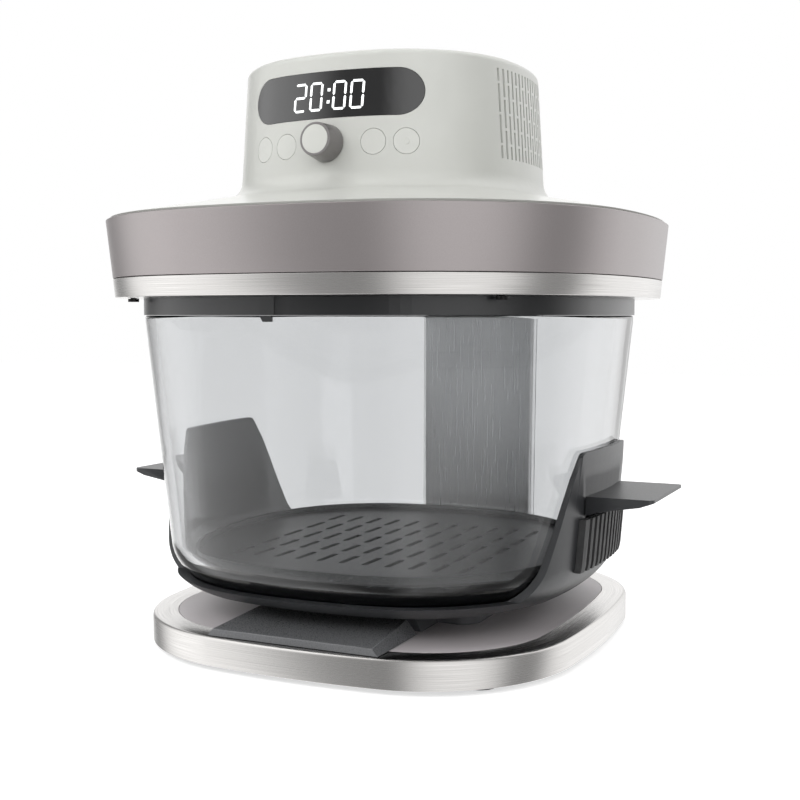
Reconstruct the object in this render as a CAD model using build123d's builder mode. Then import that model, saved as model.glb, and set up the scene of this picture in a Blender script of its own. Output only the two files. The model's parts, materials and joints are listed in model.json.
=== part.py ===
"""Glass air fryer: a heating head on a rear column, a lifting dock in the base, a glass container.

Millimetres. The table is z = 0 and the front faces -Y. The sizes below are measured from the
middle of the head, and save() moves each piece so that the origin is the middle of the whole.
"""
import math
import os

from build123d import *

os.makedirs("parts", exist_ok=True)

# Outline forms: bow of a side and radius of a corner, each as a share of the half width
head_form = (0.165, 0.79)
tower_form = (0.20, 0.855)
base_form = (0.112, 0.679)
inlay_form = (0.088, 0.619)

# Clearances
seat_gap = 0.3
dock_gap = 0.2
flush_gap = 0.2
running_gap = 0.5
pin_clearance = 0.05
sheet = 1.5
plastic_wall = 2.5

# Base
foot_height = 3.0
foot_radius = 9.0
foot_stem_radius = 2.5
foot_reach_x = 84.0
foot_reach_y = 88.0
base_half_x = 121.0
base_half_y = 127.3
base_centre_y = 4.8
base_top = 17.6
base_edge_round = 2.0
inlay_half_x = 106.5
inlay_half_y = 112.6
inlay_thickness = 2.5
seam_width = 0.25
tray_thickness = 2.5
inlay_post_radius = 4.0
inlay_post_x = 78.0
inlay_post_y = 78.0

# Screws, one size throughout
screw_radius = 1.5
screw_head_radius = 2.8
screw_head_height = 1.6

# Lever and dock
lever_travel = 20.0
dock_travel = 4.0
lever_front = -118.0
lever_rear = -73.0
lever_half_width = 47.0
lever_side_slope = 6.0
lever_front_top = 21.5
lever_rear_top = 25.0
lever_edge_round = 0.8
lever_peg_width = 5.0
lever_peg_length = 5.0
arm_x = 30.0
arm_width = 6.0
arm_height = 2.2
arm_rear = 68.0
ramp_land = 6.0
crossbar_length = 6.0
guide_rib_width = 1.5
guide_rib_height = 3.5
dock_top = 30.0
dock_half_width = 66.0
dock_front = -45.0
dock_rear = 60.0
dock_wall = 2.5
dock_depth = 16.0
dock_corner_radius = 10.0
apron_front = -66.0
apron_half_width = 46.0
apron_side_slope = 7.0
apron_front_slope = 2.0
apron_top = 29.0
follower_radius = 2.5
follower_front_y = -30.0
follower_rear_y = 36.0
follower_block_length = 8.0
dock_rib_width = 2.0
dock_post_x = 50.0
dock_post_front_y = -28.0
dock_post_rear_y = 43.0
dock_post_radius = 4.0
dock_post_top = 23.0
dock_sleeve_wall = 2.2
rail_x = 40.0
rail_width = 3.0
rail_height = 1.5

# Column
column_gap = 0.4
column_half_width = 40.0
column_front_depth = 8.0
column_back_depth = 7.3
column_corner_radius = 3.0
column_sheet = 1.2
column_back_wall = 2.0
spine_thickness = 3.0
spine_set_back = 2.8
spine_foot_half_width = 30.0
spine_foot_front = 72.0
spine_top_length = 18.0
gland_height = 22.0
gland_bore_radius = 3.6
gland_radius = 6.5
gland_flange_radius = 9.0
gland_flange_thickness = 2.0
gland_reach = 3.0
gland_taper = 20.0

# Container: outer glass half widths by height, the glass is drawn in downwards
glass_floor_z = 34.2
glass_rim_z = 176.3
glass_wall = 4.5
glass_floor = 6.0
glass_depth_extra = 0.6
glass_foot_half = 114.0
glass_rim_half = 128.2
glass_foot_round = 22.0
cradle_floor_z = dock_top + dock_gap
cradle_wall = 3.0
cradle_plate_top = 108.5
cradle_foot_half = 117.8
cradle_top_half = 124.2
cradle_foot_round = 25.0
cradle_rim_z = 38.0
strap_edge = ((45.5, 96.0), (50.5, 83.5), (56.0, 67.5), (61.0, 53.5), (68.0, cradle_rim_z))
plate_half = 38.0
plate_corner_radius = 5.0
wing_half = 32.7
wing_reach = 155.0
wing_top_z = 86.2
wing_edge = 1.5
wing_fairing_z = 76.5
wing_fairing = ((148.0, 82.2), (136.0, 80.2), (127.0, 78.4))
wing_corner_radius = 3.0
grip_half_length = 37.0
grip_bottom_z = 48.0
grip_top_z = 75.0
grip_depth = 3.6
grip_back = 1.2
grip_rib_count = 11
grip_rib_width = 3.4
runner_groove_width = rail_width + 2 * running_gap
runner_groove_depth = rail_height + seat_gap
pad_radius = 8.0
pad_pocket = 1.0
pad_spread = 62.0
key_left = -8.0
key_width = 6.5
key_depth = 1.3
key_height = 2.8
key_chamfer = 0.9
crisper_half = 104.5
crisper_z = 47.0
crisper_thickness = 1.6
crisper_rim_height = 5.0
crisper_slot_length = 20.0
crisper_slot_width = 3.6
crisper_slot_pitch_x = 13.0
crisper_slot_pitch_y = 27.0
crisper_slot_columns = 11
crisper_slot_rows = 5
crisper_leg_x = 68.5
crisper_leg_y = 62.0
crisper_leg_radius = 5.0

# Head: half widths (left to right, front to back) at each seam
trim_bottom_z = 184.9
trim_top_z = 195.3
ring_bottom_z = 195.6
ring_top_z = 225.7
trim_half_x = 141.7
trim_half_y = 143.0
ring_half_x = 145.5
ring_half_y = 147.5
ring_wall = 2.5
rim_half_x = 128.3
rim_half_y = 128.9
rim_bottom_z = glass_rim_z + dock_gap
rim_top_z = 187.0
rim_inner_half = 116.5
rim_recess_left = -1.0
rim_recess_right = 60.0
rim_recess_depth = 0.5
gasket_inner_half = 119.8
gasket_outer_half = 125.4
gasket_height = 3.0
chassis_half_x = 138.0
chassis_half_y = 139.2
chassis_opening_half = 110.0
head_screw_spread = 101.5
head_post_radius = 4.0
head_post_top = 227.5
head_screw_length = 16.0

# Housing: half widths by height, a shallow skirt that sweeps up into the tower
housing_lip = 1.2
skirt_half_x = 143.6
skirt_half_y = 145.4
skirt_inner_half = 66.0
skirt_slope = 0.2
skirt_blend = 11.0
tower_foot_z = 228.0
tower_base_half = 81.8
tower_base_half_y = 80.6
tower_top_z = 307.0
tower_top_half = 77.2
tower_top_half_y = 75.4
tower_top_round = 4.0
vent_column_count = 17
vent_column_pitch = 4.0
vent_slot_width = 1.5
vent_slot_height = 14.2
vent_row_pitch = 15.5
vent_bottom_z = 255.5
vent_rows = 3
vent_top_z = vent_bottom_z + (vent_rows - 1) * vent_row_pitch + vent_slot_height
vent_screen_thickness = 1.0
vent_screen_half = 42.0
vent_screen_z = 254.5
vent_screen_height = 47.5

# Front controls, placed on the tower by distance from the middle and height
lens_half_length = 47.5
lens_height = 23.0
lens_z = 285.6
lens_thickness = 2.4
display_board_y = -61.5
display_board_half = 42.0
display_board_height = 20.0
digit_module_half = 20.5
digit_module_height = 15.0
digit_module_front = -72.0
board_thickness = 1.6
control_z = 261.4
outer_button_x = 40.5
inner_button_x = 24.5
button_radius = 6.3
button_thickness = 2.2
button_stem_radius = 1.6
button_well_depth = 9.0
button_travel = 0.8
switch_size = 6.0
switch_depth = 3.0
switch_set_back = 6.5
key_board_y = -55.0
key_board_half = 49.0
key_board_height = 19.0
key_board_bottom = 251.5
pedestal_radius = 2.0
knob_radius = 9.4
knob_face_radius = 8.3
knob_reach = 12.5
knob_stand_off = 0.5
knob_cap_thickness = 1.2
knob_edge_round = 0.6
knob_shaft_radius = 3.0
knob_shaft_length = 10.0
knob_well_radius = 5.2
encoder_bush_radius = 4.4
encoder_size = 12.0
encoder_depth = 6.0
encoder_set_back = 6.0
normal_step = 0.5

# Inside the head
bowl_half_bottom = 109.0
bowl_half_top = 98.0
bowl_flange_half = 116.5
bowl_top_z = 218.0
bowl_sheet = 1.0
bowl_corner_round = 8.0
insulation_thickness = 3.0
insulation_half = 92.0
heater_ring_radius = 84.0
heater_inner_ring_radius = 70.0
heater_tube_radius = 3.2
heater_z = 199.0
heater_end_x = 18.0
heater_end_radius = 2.4
clip_width = 6.0
clip_count = 3
guard_half = 108.0
guard_thickness = 1.2
guard_hole_radius = 3.2
guard_rings = ((22.0, 8), (38.0, 14), (54.0, 20), (72.0, 26))
probe_radius = 2.0
probe_x = 60.0
probe_y = 0.0
shaft_radius = 3.0
shaft_bottom = 202.0
shaft_top = 279.0
convection_fan_radius = 56.0
convection_fan_z = 204.0
convection_blade_height = 9.0
convection_blades = 12
cooling_fan_radius = 46.0
cooling_fan_z = 225.5
cooling_blade_height = 8.0
cooling_blades = 9
fan_hub_radius = 9.0
fan_disc = 1.0
blade_thickness = 1.2
blade_lean = 25.0
motor_radius = 31.0
motor_bottom = 243.0
motor_height = 30.0
motor_hub_radius = 9.0
motor_hub_height = 3.0
bracket_thickness = 2.0
bracket_leg_radius = 3.5
bracket_leg_spread = 44.0
bracket_half = 50.0
bracket_hole_count = 8
power_board_y = 53.0
power_board_half = 42.0
power_board_bottom = 252.0
power_board_height = 42.0
power_boss_radius = 3.0
power_boss_x = 36.0
power_boss_inset = 4.0

# Places that follow from the sizes above
base_ceiling = base_top - sheet
inlay_bottom = base_top - inlay_thickness
tray_top = foot_height + tray_thickness
arm_bottom = tray_top + seat_gap
arm_top = arm_bottom + arm_height
ramp_slope = dock_travel / lever_travel
ramp_top = arm_top + dock_travel
follower_axis_z = ramp_top + follower_radius * math.hypot(1, ramp_slope) + pin_clearance
dock_bottom = dock_top - dock_depth
column_front_y = base_centre_y + base_half_y + column_gap
column_split_y = column_front_y + column_front_depth
column_back_y = column_split_y + flush_gap + column_back_depth
column_top = trim_bottom_z - seat_gap
spine_front_y = column_front_y + column_sheet + spine_set_back
spine_back_y = spine_front_y + spine_thickness
spine_half_width = column_half_width - column_sheet - seat_gap
spine_top_z = rim_top_z + sheet + spine_thickness
chassis_top = rim_top_z + sheet
bowl_bottom = chassis_top
insulation_top = bowl_top_z + insulation_thickness
bracket_z = motor_bottom - bracket_thickness
crisper_floor_z = glass_floor_z + glass_floor + seat_gap
back_reach = column_back_y + gland_flange_thickness + gland_reach
middle_y = (back_reach - ring_half_y) / 2


def save(piece, name):
    """Centre a finished piece on the whole, label it and write its file."""
    placed = piece.part.moved(Location((0, -middle_y, 0)))
    placed.label = name
    export_step(placed, f"parts/{name}.step")


def squircle(half_x, half_y, form):
    """A square with bowed sides and round corners, centred on the sketch."""
    bow, corner = form
    corner_x = half_x * (1 - bow)
    corner_y = half_y * (1 - bow)
    with BuildSketch() as outline:
        with BuildLine():
            ThreePointArc((-corner_x, -corner_y), (0, -half_y), (corner_x, -corner_y))
            ThreePointArc((corner_x, -corner_y), (half_x, 0), (corner_x, corner_y))
            ThreePointArc((corner_x, corner_y), (0, half_y), (-corner_x, corner_y))
            ThreePointArc((-corner_x, corner_y), (-half_x, 0), (-corner_x, -corner_y))
        make_face()
        fillet(outline.vertices(), corner * min(half_x, half_y))
    return outline.sketch


def slab(half_x, half_y, form, bottom, top, centre_y=0.0):
    """A flat slice with a squircle outline between two heights."""
    with BuildPart() as piece:
        with BuildSketch(Plane.XY.offset(bottom)):
            with Locations((0, centre_y)):
                add(squircle(half_x, half_y, form))
        extrude(amount=top - bottom)
    return piece.part


def cone_stack(bottom, top, form):
    """A straight-sided body between two squircle sections."""
    with BuildPart() as piece:
        for height, half_x, half_y in (bottom, top):
            with BuildSketch(Plane.XY.offset(height)):
                add(squircle(half_x, half_y, form))
        loft(ruled=True)
    return piece.part


def bowl(bottom, top, foot_round):
    """A tapered body between two sections, its lower edge rounded."""
    with BuildPart() as piece:
        add(cone_stack(bottom, top, head_form))
        fillet(piece.faces().sort_by(Axis.Z)[0].edges(), foot_round)
    return piece.part


def block(x0, x1, y0, y1, z0, z1):
    """A box between two corners."""
    with BuildPart(Plane.XY.offset(z0)) as piece:
        with Locations(((x0 + x1) / 2, (y0 + y1) / 2, 0)):
            Box(x1 - x0, y1 - y0, z1 - z0, align=(Align.CENTER, Align.CENTER, Align.MIN))
    return piece.part


def screw_up(length):
    """A screw that stands on its head, its shank pointing up from z = 0."""
    with BuildPart() as piece:
        Cylinder(screw_head_radius, screw_head_height, align=(Align.CENTER, Align.CENTER, Align.MAX))
        Cylinder(screw_radius, length, align=(Align.CENTER, Align.CENTER, Align.MIN))
    return piece.part


def side_share(height):
    """How far up the tower a height lies, 0 at its foot and 1 at its top."""
    return (height - tower_foot_z) / (tower_top_z - tower_foot_z)


def front_point(x, height):
    """The point on the tower's bowed front at a distance from the middle and a height."""
    share = side_share(height)
    half_x = tower_base_half + (tower_top_half - tower_base_half) * share
    half_y = tower_base_half_y + (tower_top_half_y - tower_base_half_y) * share
    chord = half_x * (1 - tower_form[0])
    rise = half_y * tower_form[0]
    radius = (chord ** 2 + rise ** 2) / (2 * rise)
    return Vector(x, -half_y + radius - math.sqrt(radius ** 2 - x ** 2), height)


def front_plane(x, height):
    """The plane that touches the tower's front there, its normal pointing out."""
    along = front_point(x + normal_step, height) - front_point(x - normal_step, height)
    up = front_point(x, height + normal_step) - front_point(x, height - normal_step)
    return Plane(origin=front_point(x, height), x_dir=along, z_dir=along.cross(up))


# Base ring: a brushed steel tray turned upside down, open in the middle for the inlay
with BuildPart() as base_ring:
    add(slab(base_half_x, base_half_y, base_form, foot_height, base_top, base_centre_y))
    fillet(base_ring.faces().sort_by(Axis.Z)[-1].edges(), base_edge_round)
    inner_x = base_half_x - sheet
    inner_y = base_half_y - sheet
    add(slab(inner_x, inner_y, base_form, foot_height, base_ceiling, base_centre_y),
        mode=Mode.SUBTRACT)
    add(slab(inlay_half_x, inlay_half_y, inlay_form, foot_height, base_top, base_centre_y),
        mode=Mode.SUBTRACT)
    notch = spine_foot_half_width + running_gap
    add(block(-notch, notch, inlay_half_y, column_back_y,
              tray_top - seat_gap, tray_top + spine_thickness + running_gap), mode=Mode.SUBTRACT)
save(base_ring, "base_ring")

lever_slot_front = lever_rear - lever_peg_length - seat_gap - lever_travel - seat_gap
lever_slot_rear = lever_rear

# Inlay panel: a flat plate with the openings for the dock and the lever pegs
with BuildPart() as base_inlay:
    add(slab(inlay_half_x - seam_width, inlay_half_y - seam_width, inlay_form,
             inlay_bottom, base_top, base_centre_y))
    with BuildSketch(Plane.XY.offset(inlay_bottom)):
        with Locations((0, (dock_front + dock_rear) / 2)):
            RectangleRounded(2 * (dock_half_width + running_gap),
                             dock_rear - dock_front + 2 * running_gap,
                             dock_corner_radius + running_gap)
    extrude(amount=inlay_thickness, mode=Mode.SUBTRACT)
    add(block(-apron_half_width - running_gap, apron_half_width + running_gap,
              apron_front - running_gap, dock_front, inlay_bottom, base_top), mode=Mode.SUBTRACT)
    for x in (-arm_x, arm_x):
        half = lever_peg_width / 2 + seat_gap
        add(block(x - half, x + half, lever_slot_front, lever_slot_rear, inlay_bottom, base_top),
            mode=Mode.SUBTRACT)
    with Locations(Plane.XY.offset(tray_top + seat_gap)):
        with GridLocations(2 * inlay_post_x, 2 * inlay_post_y, 2, 2):
            Cylinder(inlay_post_radius, inlay_bottom - tray_top - seat_gap,
                     align=(Align.CENTER, Align.CENTER, Align.MIN))
            Cylinder(screw_radius + pin_clearance, inlay_bottom - tray_top - seat_gap,
                     align=(Align.CENTER, Align.CENTER, Align.MIN), mode=Mode.SUBTRACT)
save(base_inlay, "base_inlay")

dock_posts = [(side * dock_post_x, y) for side in (-1, 1) for y in (dock_post_front_y, dock_post_rear_y)]
feet_places = [(x, base_centre_y + y) for x in (-foot_reach_x, foot_reach_x)
               for y in (-foot_reach_y, foot_reach_y)]

# Bottom tray: the floor of the base, with the lever's guide ribs and the dock's guide posts
with BuildPart() as base_tray:
    inner = sheet + seat_gap
    add(slab(base_half_x - inner, base_half_y - inner, base_form, foot_height, tray_top, base_centre_y))
    for x in (-arm_x, arm_x):
        for side in (-1, 1):
            near = x + side * (arm_width / 2 + seat_gap)
            far = near + side * guide_rib_width
            add(block(min(near, far), max(near, far), follower_front_y - 2 * follower_block_length,
                      follower_rear_y + follower_block_length, tray_top, tray_top + guide_rib_height))
    with Locations(Plane.XY.offset(tray_top)):
        with Locations(*dock_posts):
            Cylinder(dock_post_radius, dock_post_top - tray_top,
                     align=(Align.CENTER, Align.CENTER, Align.MIN))
    with Locations(Plane.XY.offset(foot_height)):
        with GridLocations(2 * inlay_post_x, 2 * inlay_post_y, 2, 2):
            Cylinder(screw_radius + pin_clearance, tray_thickness,
                     align=(Align.CENTER, Align.CENTER, Align.MIN), mode=Mode.SUBTRACT)
            Cylinder(screw_head_radius + seat_gap, screw_head_height,
                     align=(Align.CENTER, Align.CENTER, Align.MIN), mode=Mode.SUBTRACT)
        with Locations(*feet_places):
            Cylinder(foot_stem_radius + pin_clearance, tray_thickness,
                     align=(Align.CENTER, Align.CENTER, Align.MIN), mode=Mode.SUBTRACT)
save(base_tray, "base_tray")

# Four rubber feet with stems pushed into the tray
with BuildPart() as base_feet:
    with Locations(*feet_places):
        Cylinder(foot_radius, foot_height, align=(Align.CENTER, Align.CENTER, Align.MIN))
        Cylinder(foot_stem_radius, foot_height + tray_thickness,
                 align=(Align.CENTER, Align.CENTER, Align.MIN))
save(base_feet, "base_feet")

with BuildPart() as base_screws:
    with Locations(Plane.XY.offset(foot_height + screw_head_height)):
        with GridLocations(2 * inlay_post_x, 2 * inlay_post_y, 2, 2):
            add(screw_up(inlay_bottom - tray_top))
save(base_screws, "base_screws")

# Pull lever: a wedge-shaped paddle on the base, with two pegs down through the inlay
with BuildPart() as pull_lever:
    paddle_bottom = base_top + seat_gap
    with BuildSketch(Plane.YZ):
        with BuildLine():
            Polyline((lever_front, paddle_bottom), (lever_front, lever_front_top),
                     (lever_rear, lever_rear_top), (lever_rear, paddle_bottom), close=True)
        make_face()
    extrude(amount=lever_half_width, both=True)
    with BuildSketch(Plane.XZ):
        with BuildLine():
            top_half = lever_half_width - lever_side_slope
            Polyline((-lever_half_width, paddle_bottom), (lever_half_width, paddle_bottom),
                     (top_half, lever_rear_top), (-top_half, lever_rear_top), close=True)
        make_face()
    extrude(amount=-2 * lever_front, both=True, mode=Mode.INTERSECT)
    fillet(pull_lever.faces().sort_by(Axis.Z)[-1].edges(), lever_edge_round)
    for x in (-arm_x, arm_x):
        half = lever_peg_width / 2
        add(block(x - half, x + half, lever_rear - lever_peg_length - seat_gap, lever_rear - seat_gap,
                  arm_top, paddle_bottom + lever_edge_round))
save(pull_lever, "pull_lever")

# Ramp frame: two arms under the inlay, each with two ramps that carry the dock
with BuildPart() as ramp_frame:
    arm_front = lever_rear - lever_peg_length - seat_gap - crossbar_length
    add(block(-arm_x, arm_x, arm_front, arm_front + crossbar_length, arm_bottom, arm_top))
    for x in (-arm_x, arm_x):
        half = arm_width / 2
        add(block(x - half, x + half, arm_front, arm_rear, arm_bottom, arm_top))
        for y in (follower_front_y, follower_rear_y):
            with BuildSketch(Plane.YZ.offset(x)):
                with BuildLine():
                    Polyline((y - ramp_land, arm_bottom), (y - ramp_land, ramp_top), (y, ramp_top),
                             (y + lever_travel, arm_top), (y + lever_travel, arm_bottom), close=True)
                make_face()
            extrude(amount=half, both=True)
save(ramp_frame, "ramp_frame")

# Dock: a hollow platform that rises through the inlay, with a sloping apron in front
with BuildPart() as dock:
    with BuildSketch(Plane.XY.offset(dock_bottom)):
        with Locations((0, (dock_front + dock_rear) / 2)):
            RectangleRounded(2 * dock_half_width, dock_rear - dock_front, dock_corner_radius)
    extrude(amount=dock_depth)
    with BuildSketch(Plane.YZ):
        with BuildLine():
            Polyline((apron_front, dock_bottom), (apron_front, base_top),
                     (apron_front + apron_front_slope, apron_top), (dock_front, apron_top),
                     (dock_front, dock_bottom), close=True)
        make_face()
    with BuildSketch(Plane.XZ):
        with BuildLine():
            slope_top = apron_half_width - apron_side_slope
            Polyline((-apron_half_width, dock_bottom), (-apron_half_width, base_top),
                     (-slope_top, apron_top), (slope_top, apron_top),
                     (apron_half_width, base_top), (apron_half_width, dock_bottom), close=True)
        make_face()
    apron_side, apron_face = dock.pending_faces[0], dock.pending_faces[1]
    dock.pending_faces.clear()
    apron = extrude(apron_side, amount=apron_half_width, both=True, mode=Mode.PRIVATE)
    apron &= extrude(apron_face, amount=-2 * apron_front, both=True, mode=Mode.PRIVATE)
    overlap = dock_corner_radius + dock_wall
    add(apron)
    add(block(-apron_half_width, apron_half_width, dock_front, dock_front + overlap,
              dock_bottom, apron_top))
    add(block(-dock_half_width + dock_wall, dock_half_width - dock_wall, dock_front + overlap,
              dock_rear - dock_wall, dock_bottom, dock_top - dock_wall), mode=Mode.SUBTRACT)
    inner_apron = slope_top - dock_wall
    add(block(-inner_apron, inner_apron, apron_front + apron_front_slope + dock_wall,
              dock_front + overlap, dock_bottom, apron_top - dock_wall), mode=Mode.SUBTRACT)
    for x, y in dock_posts:
        with Locations((x, y, dock_bottom)):
            Cylinder(dock_post_radius + pin_clearance + dock_sleeve_wall, dock_depth - dock_wall,
                     align=(Align.CENTER, Align.CENTER, Align.MIN))
            Cylinder(dock_post_radius + pin_clearance, dock_depth - dock_wall,
                     align=(Align.CENTER, Align.CENTER, Align.MIN), mode=Mode.SUBTRACT)
    for x in (-arm_x, arm_x):
        for y in (follower_front_y, follower_rear_y):
            half = arm_width / 2 + seat_gap
            for side in (-1, 1):
                near = x + side * half
                far = near + side * dock_rib_width
                add(block(min(near, far), max(near, far), y - follower_block_length / 2,
                          y + follower_block_length / 2, dock_bottom, dock_top - dock_wall))
    for x in (-rail_x, rail_x):
        add(block(x - rail_width / 2, x + rail_width / 2, dock_front + dock_corner_radius,
                  dock_rear - dock_corner_radius, dock_top, dock_top + rail_height))
save(dock, "dock")

# Four nylon followers that ride the ramps, held between the dock's ribs
with BuildPart() as dock_followers:
    for x in (-arm_x, arm_x):
        for y in (follower_front_y, follower_rear_y):
            with BuildSketch(Plane.YZ.offset(x)):
                with Locations((y, follower_axis_z)):
                    Circle(follower_radius)
                with Locations((y, (follower_axis_z + dock_top - dock_wall) / 2)):
                    Rectangle(2 * follower_radius, dock_top - dock_wall - follower_axis_z)
            extrude(amount=arm_width / 2, both=True)
save(dock_followers, "dock_followers")

# Spine: a bent steel plate from under the inlay up the column and into the head
with BuildPart() as column_spine:
    add(block(-spine_foot_half_width, spine_foot_half_width, spine_foot_front, spine_back_y,
              tray_top, tray_top + spine_thickness))
    add(block(-spine_foot_half_width, spine_foot_half_width, spine_front_y, spine_back_y,
              tray_top, spine_top_z))
    add(block(-spine_half_width, spine_half_width, spine_front_y, spine_back_y,
              base_top, column_top - seat_gap))
    add(block(-spine_foot_half_width, spine_foot_half_width, spine_back_y - spine_top_length,
              spine_back_y, chassis_top, spine_top_z))
save(column_spine, "column_spine")

# Column front: a folded sheet with round front edges, seen through the glass
with BuildPart() as column_front:
    add(block(-column_half_width, column_half_width, column_front_y, column_split_y,
              foot_height, column_top))
    fillet(column_front.edges().filter_by(Axis.Z).group_by(Axis.Y)[0], column_corner_radius)
    inside = column_half_width - column_sheet
    add(block(-inside, inside, column_front_y + column_sheet, column_split_y,
              foot_height, column_top), mode=Mode.SUBTRACT)
    add(block(-notch, notch, column_front_y, column_front_y + column_sheet,
              tray_top - seat_gap, tray_top + spine_thickness + running_gap), mode=Mode.SUBTRACT)
save(column_front, "column_front")

column_screw_z = (40.0, 150.0)

# Column back: a moulded cover that closes the column behind the spine
with BuildPart() as column_back:
    back_front = column_split_y + flush_gap
    add(block(-column_half_width + flush_gap, column_half_width - flush_gap, back_front,
              column_back_y, foot_height, column_top))
    fillet(column_back.edges().filter_by(Axis.Z).group_by(Axis.Y)[-1], 2 * column_corner_radius)
    inside = column_half_width - flush_gap - column_back_wall
    add(block(-inside, inside, back_front, column_back_y - column_back_wall,
              foot_height + column_back_wall, column_top - column_back_wall), mode=Mode.SUBTRACT)
    with BuildSketch(Plane.XZ.offset(-column_back_y)):
        with Locations((0, gland_height)):
            Circle(gland_radius + pin_clearance)
    extrude(amount=column_back_wall, mode=Mode.SUBTRACT)
    for x in (-spine_foot_half_width, spine_foot_half_width):
        for z in column_screw_z:
            with BuildSketch(Plane.XZ.offset(-column_back_y)):
                with Locations((x, z)):
                    Circle(head_post_radius)
            extrude(amount=column_back_y - spine_back_y - seat_gap)
            with BuildSketch(Plane.XZ.offset(-column_back_y)):
                with Locations((x, z)):
                    Circle(screw_radius + pin_clearance)
            extrude(amount=column_back_y - spine_back_y, mode=Mode.SUBTRACT)
            with BuildSketch(Plane.XZ.offset(-column_back_y)):
                with Locations((x, z)):
                    Circle(screw_head_radius + seat_gap)
            extrude(amount=screw_head_height, mode=Mode.SUBTRACT)
save(column_back, "column_back")

with BuildPart() as column_screws:
    for x in (-spine_foot_half_width, spine_foot_half_width):
        for z in column_screw_z:
            seat = Plane(origin=(x, column_back_y - screw_head_height, z), z_dir=(0, -1, 0))
            add(seat.from_local_coords(screw_up(column_back_y - screw_head_height - spine_back_y)))
save(column_screws, "column_screws")

# Cord gland: a moulded bush in the column's back, its bore empty
with BuildPart() as cord_gland:
    with BuildSketch(Plane.XZ.offset(-column_back_y)):
        with Locations((0, gland_height)):
            Circle(gland_flange_radius)
    extrude(amount=-gland_flange_thickness)
    with BuildSketch(Plane.XZ.offset(-column_back_y)):
        with Locations((0, gland_height)):
            Circle(gland_radius)
    extrude(amount=column_back_wall + gland_flange_thickness)
    extrude(cord_gland.faces().sort_by(Axis.Y)[-1], amount=gland_reach, taper=gland_taper)
    with BuildSketch(Plane.XZ.offset(-column_back_y)):
        with Locations((0, gland_height)):
            Circle(gland_bore_radius)
    extrude(amount=2 * gland_flange_radius, both=True, mode=Mode.SUBTRACT)
save(cord_gland, "cord_gland")


def glass_shape(grow, floor_z):
    """The glass's outside, grown by a distance, from a floor height up to the rim."""
    foot = (floor_z, glass_foot_half + grow, glass_foot_half + glass_depth_extra + grow)
    rim = (glass_rim_z, glass_rim_half + grow, glass_rim_half + glass_depth_extra + grow)
    return bowl(foot, rim, glass_foot_round + grow)


def cradle_shape(grow):
    """The cradle's outside before its front and back are cut down, grown by a distance."""
    foot = (cradle_floor_z, cradle_foot_half + grow, cradle_foot_half + glass_depth_extra + grow)
    top = (cradle_plate_top, cradle_top_half + grow, cradle_top_half + glass_depth_extra + grow)
    return bowl(foot, top, cradle_foot_round)


pad_places = [(x, y) for x in (-pad_spread, pad_spread) for y in (-pad_spread, pad_spread)]

# Glass container: a thick pressed bowl, rounded below and drawn in towards its foot
with BuildPart() as glass_container:
    add(glass_shape(0, glass_floor_z))
    add(glass_shape(-glass_wall, glass_floor_z + glass_floor), mode=Mode.SUBTRACT)
save(glass_container, "glass_container")

# Cradle: a saddle under the glass, up both sides to a plate and a wing
with BuildPart() as cradle:
    add(cradle_shape(0))
    with BuildSketch(Plane.YZ) as side_view:
        with BuildLine():
            edge = [(plate_half, cradle_plate_top), *strap_edge, (wing_reach, cradle_rim_z),
                    (wing_reach, cradle_floor_z)]
            Polyline(*edge, *[(-y, z) for y, z in reversed(edge)], close=True)
        make_face()
        fillet(side_view.vertices().group_by(Axis.Y)[-1], plate_corner_radius)
    extrude(amount=wing_reach, both=True, mode=Mode.INTERSECT)
    for side in (-1, 1):
        with BuildSketch(Plane.XZ):
            with BuildLine():
                root = cradle_foot_half + cradle_wall
                Polyline((side * root, wing_top_z), (side * wing_reach, wing_top_z),
                         (side * wing_reach, wing_top_z - wing_edge),
                         *[(side * x, z) for x, z in wing_fairing],
                         (side * root, wing_fairing_z), close=True)
            make_face()
        extrude(amount=wing_half, both=True)
    tip_edges = cradle.edges().filter_by(Axis.Z).filter_by(
        lambda edge: abs(edge.center().X) > wing_reach - wing_edge)
    fillet(tip_edges, wing_corner_radius)
    add(glass_shape(seat_gap, glass_floor_z - seat_gap), mode=Mode.SUBTRACT)
    for x in (-rail_x, rail_x):
        half = runner_groove_width / 2
        add(block(x - half, x + half, -wing_reach, wing_reach, cradle_floor_z,
                  cradle_floor_z + runner_groove_depth), mode=Mode.SUBTRACT)
    with Locations(Plane.XY.offset(glass_floor_z - seat_gap - pad_pocket)):
        with Locations(*pad_places):
            Cylinder(pad_radius + pin_clearance, 2 * pad_pocket,
                     align=(Align.CENTER, Align.CENTER, Align.MIN), mode=Mode.SUBTRACT)
save(cradle, "cradle")

with BuildPart() as glass_pads:
    with Locations(Plane.XY.offset(glass_floor_z - seat_gap - pad_pocket)):
        with Locations(*pad_places):
            Cylinder(pad_radius, pad_pocket + seat_gap - pin_clearance,
                     align=(Align.CENTER, Align.CENTER, Align.MIN))
save(glass_pads, "glass_pads")

# Side grips: upright rubber ribs on the outside of the saddle
for side, name in ((-1, "grip_left"), (1, "grip_right")):
    with BuildPart() as grip:
        add(cradle_shape(grip_depth))
        near, far = sorted((0.0, side * wing_reach))
        add(block(near, far, -grip_half_length, grip_half_length, grip_bottom_z, grip_top_z),
            mode=Mode.INTERSECT)
        add(cradle_shape(flush_gap), mode=Mode.SUBTRACT)
        pitch = 2 * grip_half_length / grip_rib_count
        groove = pitch - grip_rib_width
        with BuildPart(mode=Mode.PRIVATE) as grooves:
            for index in range(grip_rib_count - 1):
                centre = -grip_half_length + (index + 1) * pitch
                add(block(near, far, centre - groove / 2, centre + groove / 2,
                          grip_bottom_z - grip_back, grip_top_z + grip_back))
            add(cradle_shape(grip_back), mode=Mode.SUBTRACT)
        add(grooves.part, mode=Mode.SUBTRACT)
    save(grip, name)

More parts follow.
